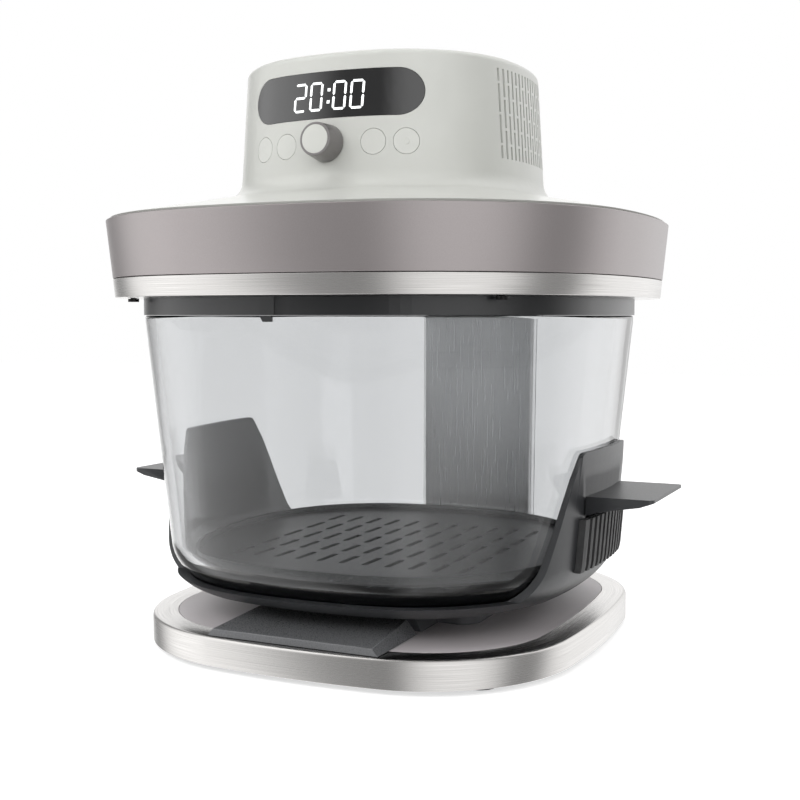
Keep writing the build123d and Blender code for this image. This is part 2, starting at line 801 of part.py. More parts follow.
# Interlock key: a small tab on the front of the glass rim
with BuildPart() as interlock_key:
    key_back = -glass_rim_half - glass_depth_extra - seat_gap
    key_top = glass_rim_z - dock_gap
    with BuildSketch(Plane.XZ.offset(-key_back)):
        with BuildLine():
            Polyline((key_left, key_top), (key_left + key_width, key_top),
                     (key_left + key_width, key_top - key_height),
                     (key_left + 2 * key_chamfer, key_top - key_height), close=True)
        make_face()
    extrude(amount=key_depth)
save(interlock_key, "interlock_key")

# Crisper plate: a slotted tray on four legs inside the glass
with BuildPart() as crisper_plate:
    add(slab(crisper_half, crisper_half, head_form, crisper_z, crisper_z + crisper_rim_height))
    rim = crisper_half - crisper_thickness
    add(slab(rim, rim, head_form, crisper_z + crisper_thickness, crisper_z + crisper_rim_height),
        mode=Mode.SUBTRACT)
    with BuildSketch(Plane.XY.offset(crisper_z)):
        with GridLocations(crisper_slot_pitch_x, crisper_slot_pitch_y, crisper_slot_columns,
                           crisper_slot_rows):
            SlotOverall(crisper_slot_length, crisper_slot_width, rotation=90)
    extrude(amount=crisper_thickness, mode=Mode.SUBTRACT)
save(crisper_plate, "crisper_plate")

# Four silicone legs under the crisper plate
with BuildPart() as crisper_feet:
    with Locations(Plane.XY.offset(crisper_floor_z)):
        with GridLocations(2 * crisper_leg_x, 2 * crisper_leg_y, 2, 2):
            Cylinder(crisper_leg_radius, crisper_z - crisper_floor_z,
                     align=(Align.CENTER, Align.CENTER, Align.MIN))
save(crisper_feet, "crisper_feet")

# Rim carrier: the black band of the head that comes down onto the glass
with BuildPart() as rim_carrier:
    add(slab(rim_half_x, rim_half_y, head_form, rim_bottom_z, rim_top_z))
    add(slab(rim_inner_half, rim_inner_half, head_form, rim_bottom_z, rim_top_z), mode=Mode.SUBTRACT)
    add(slab(gasket_outer_half, gasket_outer_half, head_form, rim_bottom_z,
             rim_bottom_z + gasket_height), mode=Mode.SUBTRACT)
    with BuildPart(mode=Mode.PRIVATE) as inner_land:
        add(slab(gasket_inner_half, gasket_inner_half, head_form, rim_bottom_z, rim_top_z))
        add(slab(rim_inner_half, rim_inner_half, head_form, rim_bottom_z, rim_top_z),
            mode=Mode.SUBTRACT)
    add(inner_land.part)
    with BuildPart(mode=Mode.PRIVATE) as recess:
        add(block(rim_recess_left, rim_recess_right, -rim_half_y, 0, rim_bottom_z, rim_top_z))
        add(slab(rim_half_x - rim_recess_depth, rim_half_y - rim_recess_depth, head_form,
                 rim_bottom_z, rim_top_z), mode=Mode.SUBTRACT)
    add(recess.part, mode=Mode.SUBTRACT)
save(rim_carrier, "rim_carrier")

with BuildPart() as rim_gasket:
    add(slab(gasket_outer_half - pin_clearance, gasket_outer_half - pin_clearance, head_form,
             rim_bottom_z, rim_bottom_z + gasket_height))
    add(slab(gasket_inner_half + pin_clearance, gasket_inner_half + pin_clearance, head_form,
             rim_bottom_z, rim_bottom_z + gasket_height), mode=Mode.SUBTRACT)
save(rim_gasket, "rim_gasket")


def ring_section(height, inset):
    """Height and half widths of the flared ring's outside there, drawn in by an inset."""
    share = (height - trim_bottom_z) / (ring_top_z - trim_bottom_z)
    half_x = trim_half_x + (ring_half_x - trim_half_x) * share
    half_y = trim_half_y + (ring_half_y - trim_half_y) * share
    return height, half_x - inset, half_y - inset


head_screws_at = [(x, y) for x in (-head_screw_spread, head_screw_spread)
                  for y in (-head_screw_spread, head_screw_spread)]
spine_slot = spine_foot_half_width + running_gap

# Steel trim: a thin band with an inward flange around the black rim
with BuildPart() as steel_trim:
    add(cone_stack(ring_section(trim_bottom_z, 0), ring_section(trim_top_z, 0), head_form))
    add(cone_stack(ring_section(trim_bottom_z + sheet, sheet), ring_section(trim_top_z, sheet),
                   head_form), mode=Mode.SUBTRACT)
    add(slab(rim_half_x + flush_gap, rim_half_y + flush_gap, head_form, trim_bottom_z,
             trim_bottom_z + sheet), mode=Mode.SUBTRACT)
    add(block(-spine_slot, spine_slot, spine_front_y - running_gap, spine_back_y + running_gap,
              trim_bottom_z, trim_bottom_z + sheet), mode=Mode.SUBTRACT)
    with Locations(Plane.XY.offset(trim_bottom_z)):
        with Locations(*head_screws_at):
            Cylinder(screw_radius + pin_clearance, sheet,
                     align=(Align.CENTER, Align.CENTER, Align.MIN), mode=Mode.SUBTRACT)
save(steel_trim, "steel_trim")

# Satin ring: the wide flared band round the head
with BuildPart() as satin_ring:
    add(cone_stack(ring_section(ring_bottom_z, 0), ring_section(ring_top_z, 0), head_form))
    fillet(satin_ring.faces().sort_by(Axis.Z)[0].edges(), seat_gap)
    add(cone_stack(ring_section(ring_bottom_z, ring_wall), ring_section(ring_top_z, ring_wall),
                   head_form), mode=Mode.SUBTRACT)
save(satin_ring, "satin_ring")

# Chassis: the flat plate that everything in the head stands on
with BuildPart() as head_chassis:
    add(slab(chassis_half_x, chassis_half_y, head_form, rim_top_z, chassis_top))
    add(slab(chassis_opening_half, chassis_opening_half, head_form, rim_top_z, chassis_top),
        mode=Mode.SUBTRACT)
    add(block(-spine_slot, spine_slot, spine_front_y - running_gap, spine_back_y + running_gap,
              rim_top_z, chassis_top), mode=Mode.SUBTRACT)
    with Locations(Plane.XY.offset(rim_top_z)):
        with Locations(*head_screws_at):
            Cylinder(screw_radius + pin_clearance, sheet,
                     align=(Align.CENTER, Align.CENTER, Align.MIN), mode=Mode.SUBTRACT)
save(head_chassis, "head_chassis")

with BuildPart() as head_screws:
    with Locations(Plane.XY.offset(trim_bottom_z)):
        with Locations(*head_screws_at):
            add(screw_up(head_screw_length))
save(head_screws, "head_screws")

tower_bottom = (tower_foot_z, tower_base_half, tower_base_half_y)
tower_top = (tower_top_z, tower_top_half, tower_top_half_y)


def tower(inset):
    """The straight part of the tower, drawn in by an inset on every side and on top."""
    with BuildPart() as piece:
        for height, half_x, half_y in (tower_bottom, (tower_top_z - inset, *tower_top[1:])):
            with BuildSketch(Plane.XY.offset(height)):
                add(squircle(half_x - inset, half_y - inset, tower_form))
        loft(ruled=True)
        fillet(piece.faces().sort_by(Axis.Z)[-1].edges(), tower_top_round - inset / 2)
    return piece.part


def skirt(inset):
    """The shallow slope from the ring up into the tower, drawn in by an inset."""
    lip_z = ring_top_z + housing_lip
    peak_z = lip_z + (skirt_half_x - skirt_inner_half) * skirt_slope
    inner_y = skirt_inner_half * tower_base_half_y / tower_base_half
    with BuildPart() as piece:
        for height, half_x, half_y in ((lip_z, skirt_half_x, skirt_half_y),
                                       (peak_z, skirt_inner_half, inner_y)):
            with BuildSketch(Plane.XY.offset(height - inset)):
                add(squircle(half_x - inset, half_y - inset, head_form))
        loft(ruled=True)
    return piece.part


def stadium(plane, length, height, depth, clearance):
    """A round-ended prism through the tower's front."""
    with BuildPart() as piece:
        with BuildSketch(plane):
            SlotOverall(length + 2 * clearance, height + 2 * clearance)
        extrude(amount=depth, both=True)
    return piece.part


def disc(plane, radius, inward, outward):
    """A round plug across a plane, by its depths behind and in front of it."""
    with BuildPart() as piece:
        with BuildSketch(plane.offset(-inward)):
            Circle(radius)
        extrude(amount=inward + outward)
    return piece.part


button_places = (
    ("power_button", -outer_button_x),
    ("mode_button", -inner_button_x),
    ("timer_button", inner_button_x),
    ("start_button", outer_button_x),
)
lens_plane = Plane(origin=(0, -tower_base_half_y, lens_z), x_dir=(1, 0, 0), z_dir=(0, -1, 0))
knob_plane = front_plane(0, control_z)
tower_skin = tower(0)

# Housing: skirt and tower in one moulding, slotted at the sides and pierced in front
with BuildPart() as head_housing:
    add(skirt(0))
    add(tower_skin)
    junction_z = ring_top_z + housing_lip + (skirt_half_x - tower_base_half) * skirt_slope
    junction = head_housing.edges().filter_by_position(Axis.Z, junction_z - skirt_blend / 3,
                                                       junction_z + skirt_blend / 3)
    fillet(junction, skirt_blend)
    lip_x, lip_y = skirt_half_x, skirt_half_y
    add(cone_stack((ring_top_z, ring_half_x - ring_wall - seat_gap, ring_half_y - ring_wall - seat_gap),
                   (ring_top_z + housing_lip, lip_x, lip_y), head_form))
    add(skirt(plastic_wall), mode=Mode.SUBTRACT)
    add(tower(plastic_wall), mode=Mode.SUBTRACT)
    add(slab(lip_x - 2 * plastic_wall, lip_y - 2 * plastic_wall, head_form, ring_top_z - plastic_wall,
             ring_top_z + housing_lip), mode=Mode.SUBTRACT)
    with Locations(Plane.XY.offset(chassis_top + seat_gap)):
        with Locations(*head_screws_at):
            Cylinder(head_post_radius, head_post_top - chassis_top - seat_gap,
                     align=(Align.CENTER, Align.CENTER, Align.MIN))
            Cylinder(screw_radius + pin_clearance, head_screw_length,
                     align=(Align.CENTER, Align.CENTER, Align.MIN), mode=Mode.SUBTRACT)
    with BuildPart(mode=Mode.PRIVATE) as bosses:
        with BuildSketch(Plane.XZ.offset(-power_board_y - board_thickness)):
            with Locations((0, power_board_bottom + power_board_height / 2)):
                with GridLocations(2 * power_boss_x, power_board_height - 2 * power_boss_inset, 2, 2):
                    Circle(power_boss_radius)
        extrude(amount=-(tower_base_half_y - power_board_y - board_thickness))
        add(tower(plastic_wall / 2), mode=Mode.INTERSECT)
    add(bosses.part)
    add(stadium(lens_plane, 2 * lens_half_length, lens_height, tower_base_half_y / 2, flush_gap),
        mode=Mode.SUBTRACT)
    for name, x in button_places:
        add(disc(front_plane(x, control_z), button_radius + flush_gap, button_well_depth,
                 plastic_wall), mode=Mode.SUBTRACT)
    add(disc(knob_plane, knob_well_radius, 2 * plastic_wall, plastic_wall), mode=Mode.SUBTRACT)
    with BuildPart(mode=Mode.PRIVATE) as slots:
        for column in range(vent_column_count):
            y = (column - (vent_column_count - 1) / 2) * vent_column_pitch
            staggered = column % 2 == 0
            shift = vent_row_pitch / 2 if staggered else 0.0
            for row in range(vent_rows):
                low = vent_bottom_z + row * vent_row_pitch + shift
                high = min(low + vent_slot_height, vent_top_z)
                add(block(-skirt_half_x, skirt_half_x, y - vent_slot_width / 2,
                          y + vent_slot_width / 2, low, high))
            if staggered:
                add(block(-skirt_half_x, skirt_half_x, y - vent_slot_width / 2,
                          y + vent_slot_width / 2, vent_bottom_z, vent_bottom_z + vent_row_pitch / 2
                          - (vent_row_pitch - vent_slot_height)))
    add(slots.part, mode=Mode.SUBTRACT)
save(head_housing, "head_housing")

# Vent screens: thin dark plates just inside the slotted sides
for side, name in ((-1, "vent_screen_left"), (1, "vent_screen_right")):
    with BuildPart() as screen:
        add(tower(plastic_wall + flush_gap))
        near, far = sorted((side * tower_top_half / 2, side * tower_base_half))
        add(block(near, far, -vent_screen_half, vent_screen_half, vent_screen_z,
                  vent_screen_z + vent_screen_height), mode=Mode.INTERSECT)
        add(tower(plastic_wall + flush_gap + vent_screen_thickness), mode=Mode.SUBTRACT)
    save(screen, name)

# Display lens: a dark window that follows the bow of the front
with BuildPart() as display_lens:
    add(stadium(lens_plane, 2 * lens_half_length, lens_height, tower_base_half_y / 2, 0))
    add(tower_skin, mode=Mode.INTERSECT)
    add(tower(lens_thickness), mode=Mode.SUBTRACT)
save(display_lens, "display_lens")

# Display board with the block that holds the numbers
with BuildPart() as display_board:
    add(block(-display_board_half, display_board_half, display_board_y,
              display_board_y + board_thickness, lens_z - display_board_height / 2,
              lens_z + display_board_height / 2))
    add(block(-digit_module_half, digit_module_half, digit_module_front, display_board_y,
              lens_z - digit_module_height / 2, lens_z + digit_module_height / 2))
save(display_board, "display_board")

# Key board: one board behind the controls, a switch on a pedestal for each button
with BuildPart() as key_board:
    add(block(-key_board_half, key_board_half, key_board_y, key_board_y + board_thickness,
              key_board_bottom, key_board_bottom + key_board_height))
    for name, x in button_places:
        face = front_plane(x, control_z)
        seat = face.offset(-switch_set_back - switch_depth)
        with BuildSketch(seat):
            Rectangle(switch_size, switch_size)
        extrude(amount=switch_depth)
        reach = (key_board_y - seat.origin.Y) / abs(face.z_dir.Y) + board_thickness / 2
        add(disc(seat, pedestal_radius, reach, 0))
save(key_board, "key_board")

# Four flush buttons, each with a stem to its switch
for name, x in button_places:
    face = front_plane(x, control_z)
    with BuildPart() as button:
        add(disc(face, button_radius, 2 * plastic_wall, plastic_wall))
        add(tower_skin, mode=Mode.INTERSECT)
        add(tower(button_thickness), mode=Mode.SUBTRACT)
        add(disc(face, button_stem_radius, switch_set_back - button_travel - flush_gap,
                 -button_thickness / 2))
    save(button, name)

# Encoder: the fixed body and bush behind the knob
with BuildPart() as encoder:
    seat = knob_plane.offset(-encoder_set_back - encoder_depth)
    with BuildSketch(seat):
        Rectangle(encoder_size, encoder_size)
    extrude(amount=encoder_depth)
    with BuildSketch(seat):
        Circle(encoder_bush_radius)
    extrude(amount=encoder_depth + encoder_set_back - knob_stand_off)
    add(disc(seat, encoder_size / 4, (key_board_y - seat.origin.Y) - flush_gap, 0))
    with BuildSketch(knob_plane.offset(-knob_shaft_length - flush_gap)):
        Circle(knob_shaft_radius + pin_clearance)
    extrude(amount=2 * knob_shaft_length, mode=Mode.SUBTRACT)
save(encoder, "encoder")

# Knob body: a turned skirt with its shaft, hollow in front for the cap
with BuildPart() as knob_body:
    with BuildSketch(knob_plane.offset(knob_stand_off)):
        Circle(knob_radius)
    with BuildSketch(knob_plane.offset(knob_reach)):
        Circle(knob_face_radius)
    loft()
    with BuildSketch(knob_plane.offset(-knob_shaft_length)):
        Circle(knob_shaft_radius)
    extrude(amount=knob_shaft_length + 2 * knob_stand_off)
    fillet(knob_body.edges().filter_by(GeomType.CIRCLE).sort_by(Axis.Y)[0], knob_edge_round)
    with BuildSketch(knob_plane.offset(knob_reach - knob_cap_thickness)):
        Circle(knob_face_radius - knob_cap_thickness)
    extrude(amount=2 * knob_cap_thickness, mode=Mode.SUBTRACT)
save(knob_body, "knob_body")

with BuildPart() as knob_cap:
    with BuildSketch(knob_plane.offset(knob_reach - knob_cap_thickness)):
        Circle(knob_face_radius - knob_cap_thickness - pin_clearance)
    extrude(amount=knob_cap_thickness)
save(knob_cap, "knob_cap")

# Reflector bowl: a pressed steel hood over the heater, flanged onto the chassis
with BuildPart() as reflector_bowl:
    add(cone_stack((bowl_bottom, bowl_half_bottom, bowl_half_bottom),
                   (bowl_top_z, bowl_half_top, bowl_half_top), head_form))
    fillet(reflector_bowl.faces().sort_by(Axis.Z)[-1].edges(), bowl_corner_round)
    with BuildPart(mode=Mode.PRIVATE) as hollow_bowl:
        add(cone_stack((bowl_bottom, bowl_half_bottom - bowl_sheet, bowl_half_bottom - bowl_sheet),
                       (bowl_top_z - bowl_sheet, bowl_half_top - bowl_sheet,
                        bowl_half_top - bowl_sheet), head_form))
        fillet(hollow_bowl.faces().sort_by(Axis.Z)[-1].edges(), bowl_corner_round - bowl_sheet)
    add(slab(bowl_flange_half, bowl_flange_half, head_form, bowl_bottom, bowl_bottom + bowl_sheet))
    add(hollow_bowl.part, mode=Mode.SUBTRACT)
    with Locations((0, 0, bowl_top_z)):
        Cylinder(shaft_radius + running_gap, 2 * bowl_corner_round, mode=Mode.SUBTRACT)
save(reflector_bowl, "reflector_bowl")

# Insulation: a flat mat on top of the bowl
with BuildPart() as insulation:
    add(slab(insulation_half, insulation_half, head_form, bowl_top_z, insulation_top))
    with Locations((0, 0, bowl_top_z)):
        Cylinder(shaft_radius + running_gap, 2 * bowl_corner_round, mode=Mode.SUBTRACT)
        with GridLocations(2 * bracket_leg_spread, 2 * bracket_leg_spread, 2, 2):
            Cylinder(bracket_leg_radius + seat_gap, 2 * bowl_corner_round, mode=Mode.SUBTRACT)
save(insulation, "insulation")

# Heating element: two loops joined at the back, with two ends up to the bowl
with BuildPart() as heating_element:
    with Locations((0, 0, heater_z)):
        Torus(heater_ring_radius, heater_tube_radius)
        Torus(heater_inner_ring_radius, heater_tube_radius)
    for x in (-heater_end_x, heater_end_x):
        inner_y = math.sqrt(heater_inner_ring_radius ** 2 - x ** 2)
        outer_y = math.sqrt(heater_ring_radius ** 2 - x ** 2)
        add(disc(Plane(origin=(x, inner_y, heater_z), z_dir=(0, 1, 0)), heater_end_radius, 0,
                 outer_y - inner_y))
        add(disc(Plane(origin=(x, outer_y, heater_z)), heater_end_radius, 0,
                 bowl_top_z - bowl_sheet - heater_z - seat_gap))
save(heating_element, "heating_element")

# Heater clips: hangers from the bowl, spaced round the outer loop
with BuildPart() as heater_clips:
    for index in range(clip_count):
        angle = math.radians(-90 + 360 / clip_count * index)
        with Locations((heater_ring_radius * math.cos(angle), heater_ring_radius * math.sin(angle),
                        heater_z + heater_tube_radius + flush_gap)):
            Box(clip_width, clip_width,
                bowl_top_z - bowl_sheet - heater_z - heater_tube_radius - 2 * flush_gap,
                align=(Align.CENTER, Align.CENTER, Align.MIN))
save(heater_clips, "heater_clips")

# Heater guard: a pierced plate that closes the bowl towards the food
with BuildPart() as heater_guard:
    guard_z = bowl_bottom + bowl_sheet + flush_gap
    guard = guard_half - plastic_wall
    add(slab(guard, guard, head_form, guard_z, guard_z + guard_thickness))
    with BuildSketch(Plane.XY.offset(guard_z)):
        Circle(guard_hole_radius)
        for radius, count in guard_rings:
            with PolarLocations(radius, count):
                Circle(guard_hole_radius)
    extrude(amount=guard_thickness, mode=Mode.SUBTRACT)
save(heater_guard, "heater_guard")

# Temperature probe: a thin rod from the bowl's top to the guard
with BuildPart() as temperature_probe:
    with Locations((probe_x, probe_y, guard_z + guard_thickness + flush_gap)):
        Cylinder(probe_radius, bowl_top_z - bowl_sheet - guard_z - guard_thickness - 2 * flush_gap,
                 align=(Align.CENTER, Align.CENTER, Align.MIN))
save(temperature_probe, "temperature_probe")


def fan(radius, blade_count, bottom, blade_height):
    """A fan wheel: hub, disc on top and straight blades that lean back."""
    with BuildPart() as wheel:
        with Locations((0, 0, bottom)):
            Cylinder(fan_hub_radius, blade_height + fan_disc,
                     align=(Align.CENTER, Align.CENTER, Align.MIN))
        with Locations((0, 0, bottom + blade_height)):
            Cylinder(radius, fan_disc, align=(Align.CENTER, Align.CENTER, Align.MIN))
        with Locations(Plane.XY.offset(bottom)):
            with PolarLocations((radius + fan_hub_radius) / 2, blade_count):
                Box(radius - fan_hub_radius, blade_thickness, blade_height, rotation=(0, 0, blade_lean),
                    align=(Align.CENTER, Align.CENTER, Align.MIN))
        with Locations((0, 0, bottom)):
            Cylinder(shaft_radius, blade_height + fan_disc,
                     align=(Align.CENTER, Align.CENTER, Align.MIN), mode=Mode.SUBTRACT)
    return wheel


save(fan(convection_fan_radius, convection_blades, convection_fan_z, convection_blade_height),
     "convection_fan")
save(fan(cooling_fan_radius, cooling_blades, cooling_fan_z, cooling_blade_height), "cooling_fan")

with BuildPart() as motor_shaft:
    with Locations((0, 0, shaft_bottom)):
        Cylinder(shaft_radius, shaft_top - shaft_bottom, align=(Align.CENTER, Align.CENTER, Align.MIN))
save(motor_shaft, "motor_shaft")

# Motor: a round can with a bearing hub at each end, bored for the shaft
with BuildPart() as motor:
    with Locations((0, 0, motor_bottom)):
        Cylinder(motor_radius, motor_height, align=(Align.CENTER, Align.CENTER, Align.MIN))
    fillet(motor.edges().filter_by(GeomType.CIRCLE), bracket_thickness)
    with Locations((0, 0, motor_bottom - motor_hub_height)):
        Cylinder(motor_hub_radius, motor_height + 2 * motor_hub_height,
                 align=(Align.CENTER, Align.CENTER, Align.MIN))
        Cylinder(shaft_radius + pin_clearance, motor_height + 2 * motor_hub_height,
                 align=(Align.CENTER, Align.CENTER, Align.MIN), mode=Mode.SUBTRACT)
save(motor, "motor")

# Motor bracket: a plate on four legs that stand on the bowl
with BuildPart() as motor_bracket:
    with BuildSketch(Plane.XY.offset(bracket_z)):
        RectangleRounded(2 * bracket_half, 2 * bracket_half, bracket_leg_radius)
        Circle(motor_hub_radius + seat_gap, mode=Mode.SUBTRACT)
        with PolarLocations((motor_radius + motor_hub_radius) / 2, bracket_hole_count,
                            start_angle=180 / bracket_hole_count):
            Circle(bracket_leg_radius, mode=Mode.SUBTRACT)
    extrude(amount=bracket_thickness)
    with Locations(Plane.XY.offset(bowl_top_z)):
        with GridLocations(2 * bracket_leg_spread, 2 * bracket_leg_spread, 2, 2):
            Cylinder(bracket_leg_radius, bracket_z - bowl_top_z,
                     align=(Align.CENTER, Align.CENTER, Align.MIN))
save(motor_bracket, "motor_bracket")

# Power board: an upright board behind the motor, on four bosses of the housing
with BuildPart() as power_board:
    add(block(-power_board_half, power_board_half, power_board_y, power_board_y + board_thickness,
              power_board_bottom, power_board_bottom + power_board_height))
    add(block(-power_board_half / 2, -power_board_half / 4, power_board_y - encoder_size,
              power_board_y, power_board_bottom + power_boss_inset, power_board_bottom + encoder_size * 2))
    add(block(power_board_half / 4, power_board_half / 2, power_board_y - encoder_depth,
              power_board_y, power_board_bottom + power_boss_inset, power_board_bottom + encoder_size * 2))
save(power_board, "power_board")
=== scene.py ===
"""Looks of a glass air fryer: heating head on a rear column, glass container, steel base.

Sizes are in millimetres and turned to metres where a mesh is made. Places come from the frame.
"""
import json
import math

import bmesh
import bpy
import numpy as np
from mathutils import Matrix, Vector


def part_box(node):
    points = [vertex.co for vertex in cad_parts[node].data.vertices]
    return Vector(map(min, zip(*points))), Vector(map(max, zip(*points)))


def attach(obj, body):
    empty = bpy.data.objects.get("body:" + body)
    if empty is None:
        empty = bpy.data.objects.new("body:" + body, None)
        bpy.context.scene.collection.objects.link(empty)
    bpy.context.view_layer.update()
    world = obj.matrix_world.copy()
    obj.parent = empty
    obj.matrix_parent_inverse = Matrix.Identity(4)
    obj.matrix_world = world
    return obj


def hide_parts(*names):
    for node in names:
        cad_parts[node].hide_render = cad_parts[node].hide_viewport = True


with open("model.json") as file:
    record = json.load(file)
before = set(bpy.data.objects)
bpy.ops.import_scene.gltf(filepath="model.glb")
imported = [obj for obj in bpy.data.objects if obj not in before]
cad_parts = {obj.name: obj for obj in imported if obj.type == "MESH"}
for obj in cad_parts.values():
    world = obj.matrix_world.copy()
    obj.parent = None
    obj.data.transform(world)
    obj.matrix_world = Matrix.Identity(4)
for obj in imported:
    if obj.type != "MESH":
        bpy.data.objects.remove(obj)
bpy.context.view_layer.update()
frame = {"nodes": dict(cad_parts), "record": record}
METRE = 0.001

slot_of = {part["node"]: part["material_slot"] for part in frame["record"]["subparts"]}
body_of = {name: body for body, names in frame["record"]["behaviour"]["bodies"].items() for name in names}

# Outline forms: bow of a side and radius of a corner, each as a share of the half width
HEAD_FORM = (0.165, 0.79)
BASE_FORM = (0.112, 0.679)
INLAY_FORM = (0.088, 0.619)
TOWER_BOW = 0.20
TURN_COUNT = 240

# The satin ring and the steel trim under it
RING_WALL = 2.5
RING_EDGE_ROUND, RING_FOOT_ROUND = 0.5, 0.3
TRIM_SHEET = 1.5
TRIM_SLOPE = np.array([0.093, 0.093 * 1.18])
TRIM_LOWER_ROUND, TRIM_UPPER_ROUND, TRIM_FOLD_ROUND = 0.5, 0.4, 0.2
TRIM_GAP = 0.2

# The glass
GLASS_DRAW = 14.2
GLASS_WALL = 4.5
GLASS_FLOOR = 6.0
GLASS_FOOT_ROUND = 22.0
GLASS_LIP_ROUND = 1.6
GLASS_POLE = 1.0
GLASS_ROUND_STEPS = 12

# The steel base
BASE_SHEET = 1.5
BASE_TOP_ROUND, BASE_FOOT_ROUND, BASE_FOLD_ROUND = 2.0, 0.4, 0.3
BASE_ROUND_STEPS = 5
BASE_EDGE_BAND = 6.0
BASE_INNER_SLOPE = 3.0
INLAY_GAP = 0.25
# The top's edge round the inlay rolls down in steps, each as (out, down)
INLAY_EDGE = ((0.35, 0), (0.1, 0.08), (0, 0.35), (0, BASE_SHEET))

# The tower's front
TOWER_FOOT_Z, TOWER_TOP_Z = 228.0, 307.0
TOWER_BASE_HALF, TOWER_TOP_HALF = np.array([81.8, 80.6]), np.array([77.2, 75.4])

# The lit digits
DIGIT_WIDTH, DIGIT_HEIGHT = 6.2, 13.2
DIGIT_BAR = 1.15
DIGIT_BAR_GAP = 0.25
DIGIT_LEAN = 0.06
DIGIT_DROP = 0.6
DIGIT_STARTS = (-19.2, -9.8, 3.2, 12.6)
DIGIT_PROUD, DIGIT_BACK = 0.12, 0.02
DOT_HALF = 0.75
DOT_X = 0.35
DOT_HEIGHTS = (0.55, 1.45)

# Meshes of the CAD forms
MERGE_DISTANCE = 0.002
FLAT_ANGLE = 0.3

# Shading is smooth over edges up to these angles, in degrees
BAND_SMOOTH, FORM_SMOOTH, CARRIER_SMOOTH, DIGIT_SMOOTH, KEY_SMOOTH = 35, 30, 20, 10, 3


def span(name):
    """Lowest and highest corner of a CAD node, in millimetres."""
    low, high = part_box(name)
    return np.array(low) / METRE, np.array(high) / METRE


def half_sizes(name):
    """Half widths of a CAD node from left to right and from front to back."""
    low, high = span(name)
    return (high - low)[:2] / 2


def middle_y(name):
    """Where the middle of a CAD node lies from front to back."""
    low, high = span(name)
    return float(low[1] + high[1]) / 2


HEAD_Y = middle_y("satin_ring")
BASE_Y = middle_y("base_ring")

# Outlines and profiles


def outline(half_x, half_y, form, turns):
    """Points of a square with bowed sides and round corners, one for each direction of its normal.

    A side is an arc through its two corner points and its middle, a corner is an arc that touches
    both sides. The point for a normal at angle a is the arc's centre plus its radius times
    (cos a, sin a). The corner's centre is where two circles cross: round each side's centre, with
    the side's radius less the corner's.
    """
    bow, corner = form
    chord_x, chord_y = half_x * (1 - bow), half_y * (1 - bow)
    side_radius = (chord_y ** 2 + (half_x * bow) ** 2) / (2 * half_x * bow)
    front_radius = (chord_x ** 2 + (half_y * bow) ** 2) / (2 * half_y * bow)
    corner_radius = corner * min(half_x, half_y)
    side_centre, front_centre = half_x - side_radius, half_y - front_radius
    reach_side, reach_front = side_radius - corner_radius, front_radius - corner_radius
    apart = math.hypot(side_centre, front_centre)
    along = (reach_side ** 2 - reach_front ** 2 + apart ** 2) / (2 * apart)
    away = math.sqrt(max(reach_side ** 2 - along ** 2, 0))
    step_x, step_y = -side_centre / apart, front_centre / apart
    corner_x = side_centre + along * step_x - away * step_y
    corner_y = along * step_y + away * step_x
    if corner_x < 0:
        corner_x = side_centre + along * step_x + away * step_y
        corner_y = along * step_y - away * step_x
    side_end = math.atan2(corner_y, corner_x - side_centre)
    front_end = math.atan2(corner_y - front_centre, corner_x)
    across, up = np.abs(np.cos(turns)), np.abs(np.sin(turns))
    quarter = np.arctan2(up, across)
    on_side, on_front = quarter < side_end, quarter > front_end
    x = np.where(on_side, side_centre + side_radius * across,
                 np.where(on_front, front_radius * across, corner_x + corner_radius * across))
    y = np.where(on_side, side_radius * up,
                 np.where(on_front, front_centre + front_radius * up, corner_y + corner_radius * up))
    return np.stack([x * np.sign(np.cos(turns)), y * np.sign(np.sin(turns))], -1)


def rounded(corners, radius, steps=4, closed=True):
    """A flat polyline with each corner replaced by a circular arc, worked out as a conic.

    Each corner is (across, up) or (across, up, its own radius). The arc is the weighted mean of its
    start, the corner and its end, with weights (1 - t)^2, 2 w t (1 - t) and t^2, where w is the
    sine of half the corner's angle. An arc takes at most nearly half of each side next to it.
    """
    side_share, nearly_straight = 0.48, 0.01
    points = [np.array(corner[:2], float) for corner in corners]
    radii = [corner[2] if len(corner) > 2 else radius for corner in corners]
    result = []
    for index, point in enumerate(points):
        if not closed and index in (0, len(points) - 1):
            result.append(point[None])
            continue
        before = points[index - 1] - point
        after = points[(index + 1) % len(points)] - point
        reach_before, reach_after = np.linalg.norm(before), np.linalg.norm(after)
        before, after = before / reach_before, after / reach_after
        half_angle = math.acos(np.clip(before @ after, -1, 1)) / 2
        if radii[index] == 0 or half_angle > math.pi / 2 - nearly_straight:
            result.append(point[None])
            continue
        cut = min(radii[index] / math.tan(half_angle), reach_before * side_share,
                  reach_after * side_share)
        t = np.linspace(0, 1, steps + 1)[:, None]
        weight = math.sin(half_angle)
        begin, end = point + before * cut, point + after * cut
        low, middle, high = (1 - t) ** 2, 2 * weight * t * (1 - t), t ** 2
        result.append((low * begin + middle * point + high * end) / (low + middle + high))
    return np.concatenate(result)


# Meshes


def place(name, mesh, body, material, replaced, smooth_angle):
    """Links a mesh as a piece, with smooth shading up to an angle, on its CAD body."""
    mesh.shade_smooth()
    mesh.set_sharp_from_angle(angle=math.radians(smooth_angle))
    piece = bpy.data.objects.new(name, mesh)
    bpy.context.scene.collection.objects.link(piece)
    mesh.materials.append(material)
    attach(piece, body)
    if replaced:
        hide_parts(*replaced)
    return piece


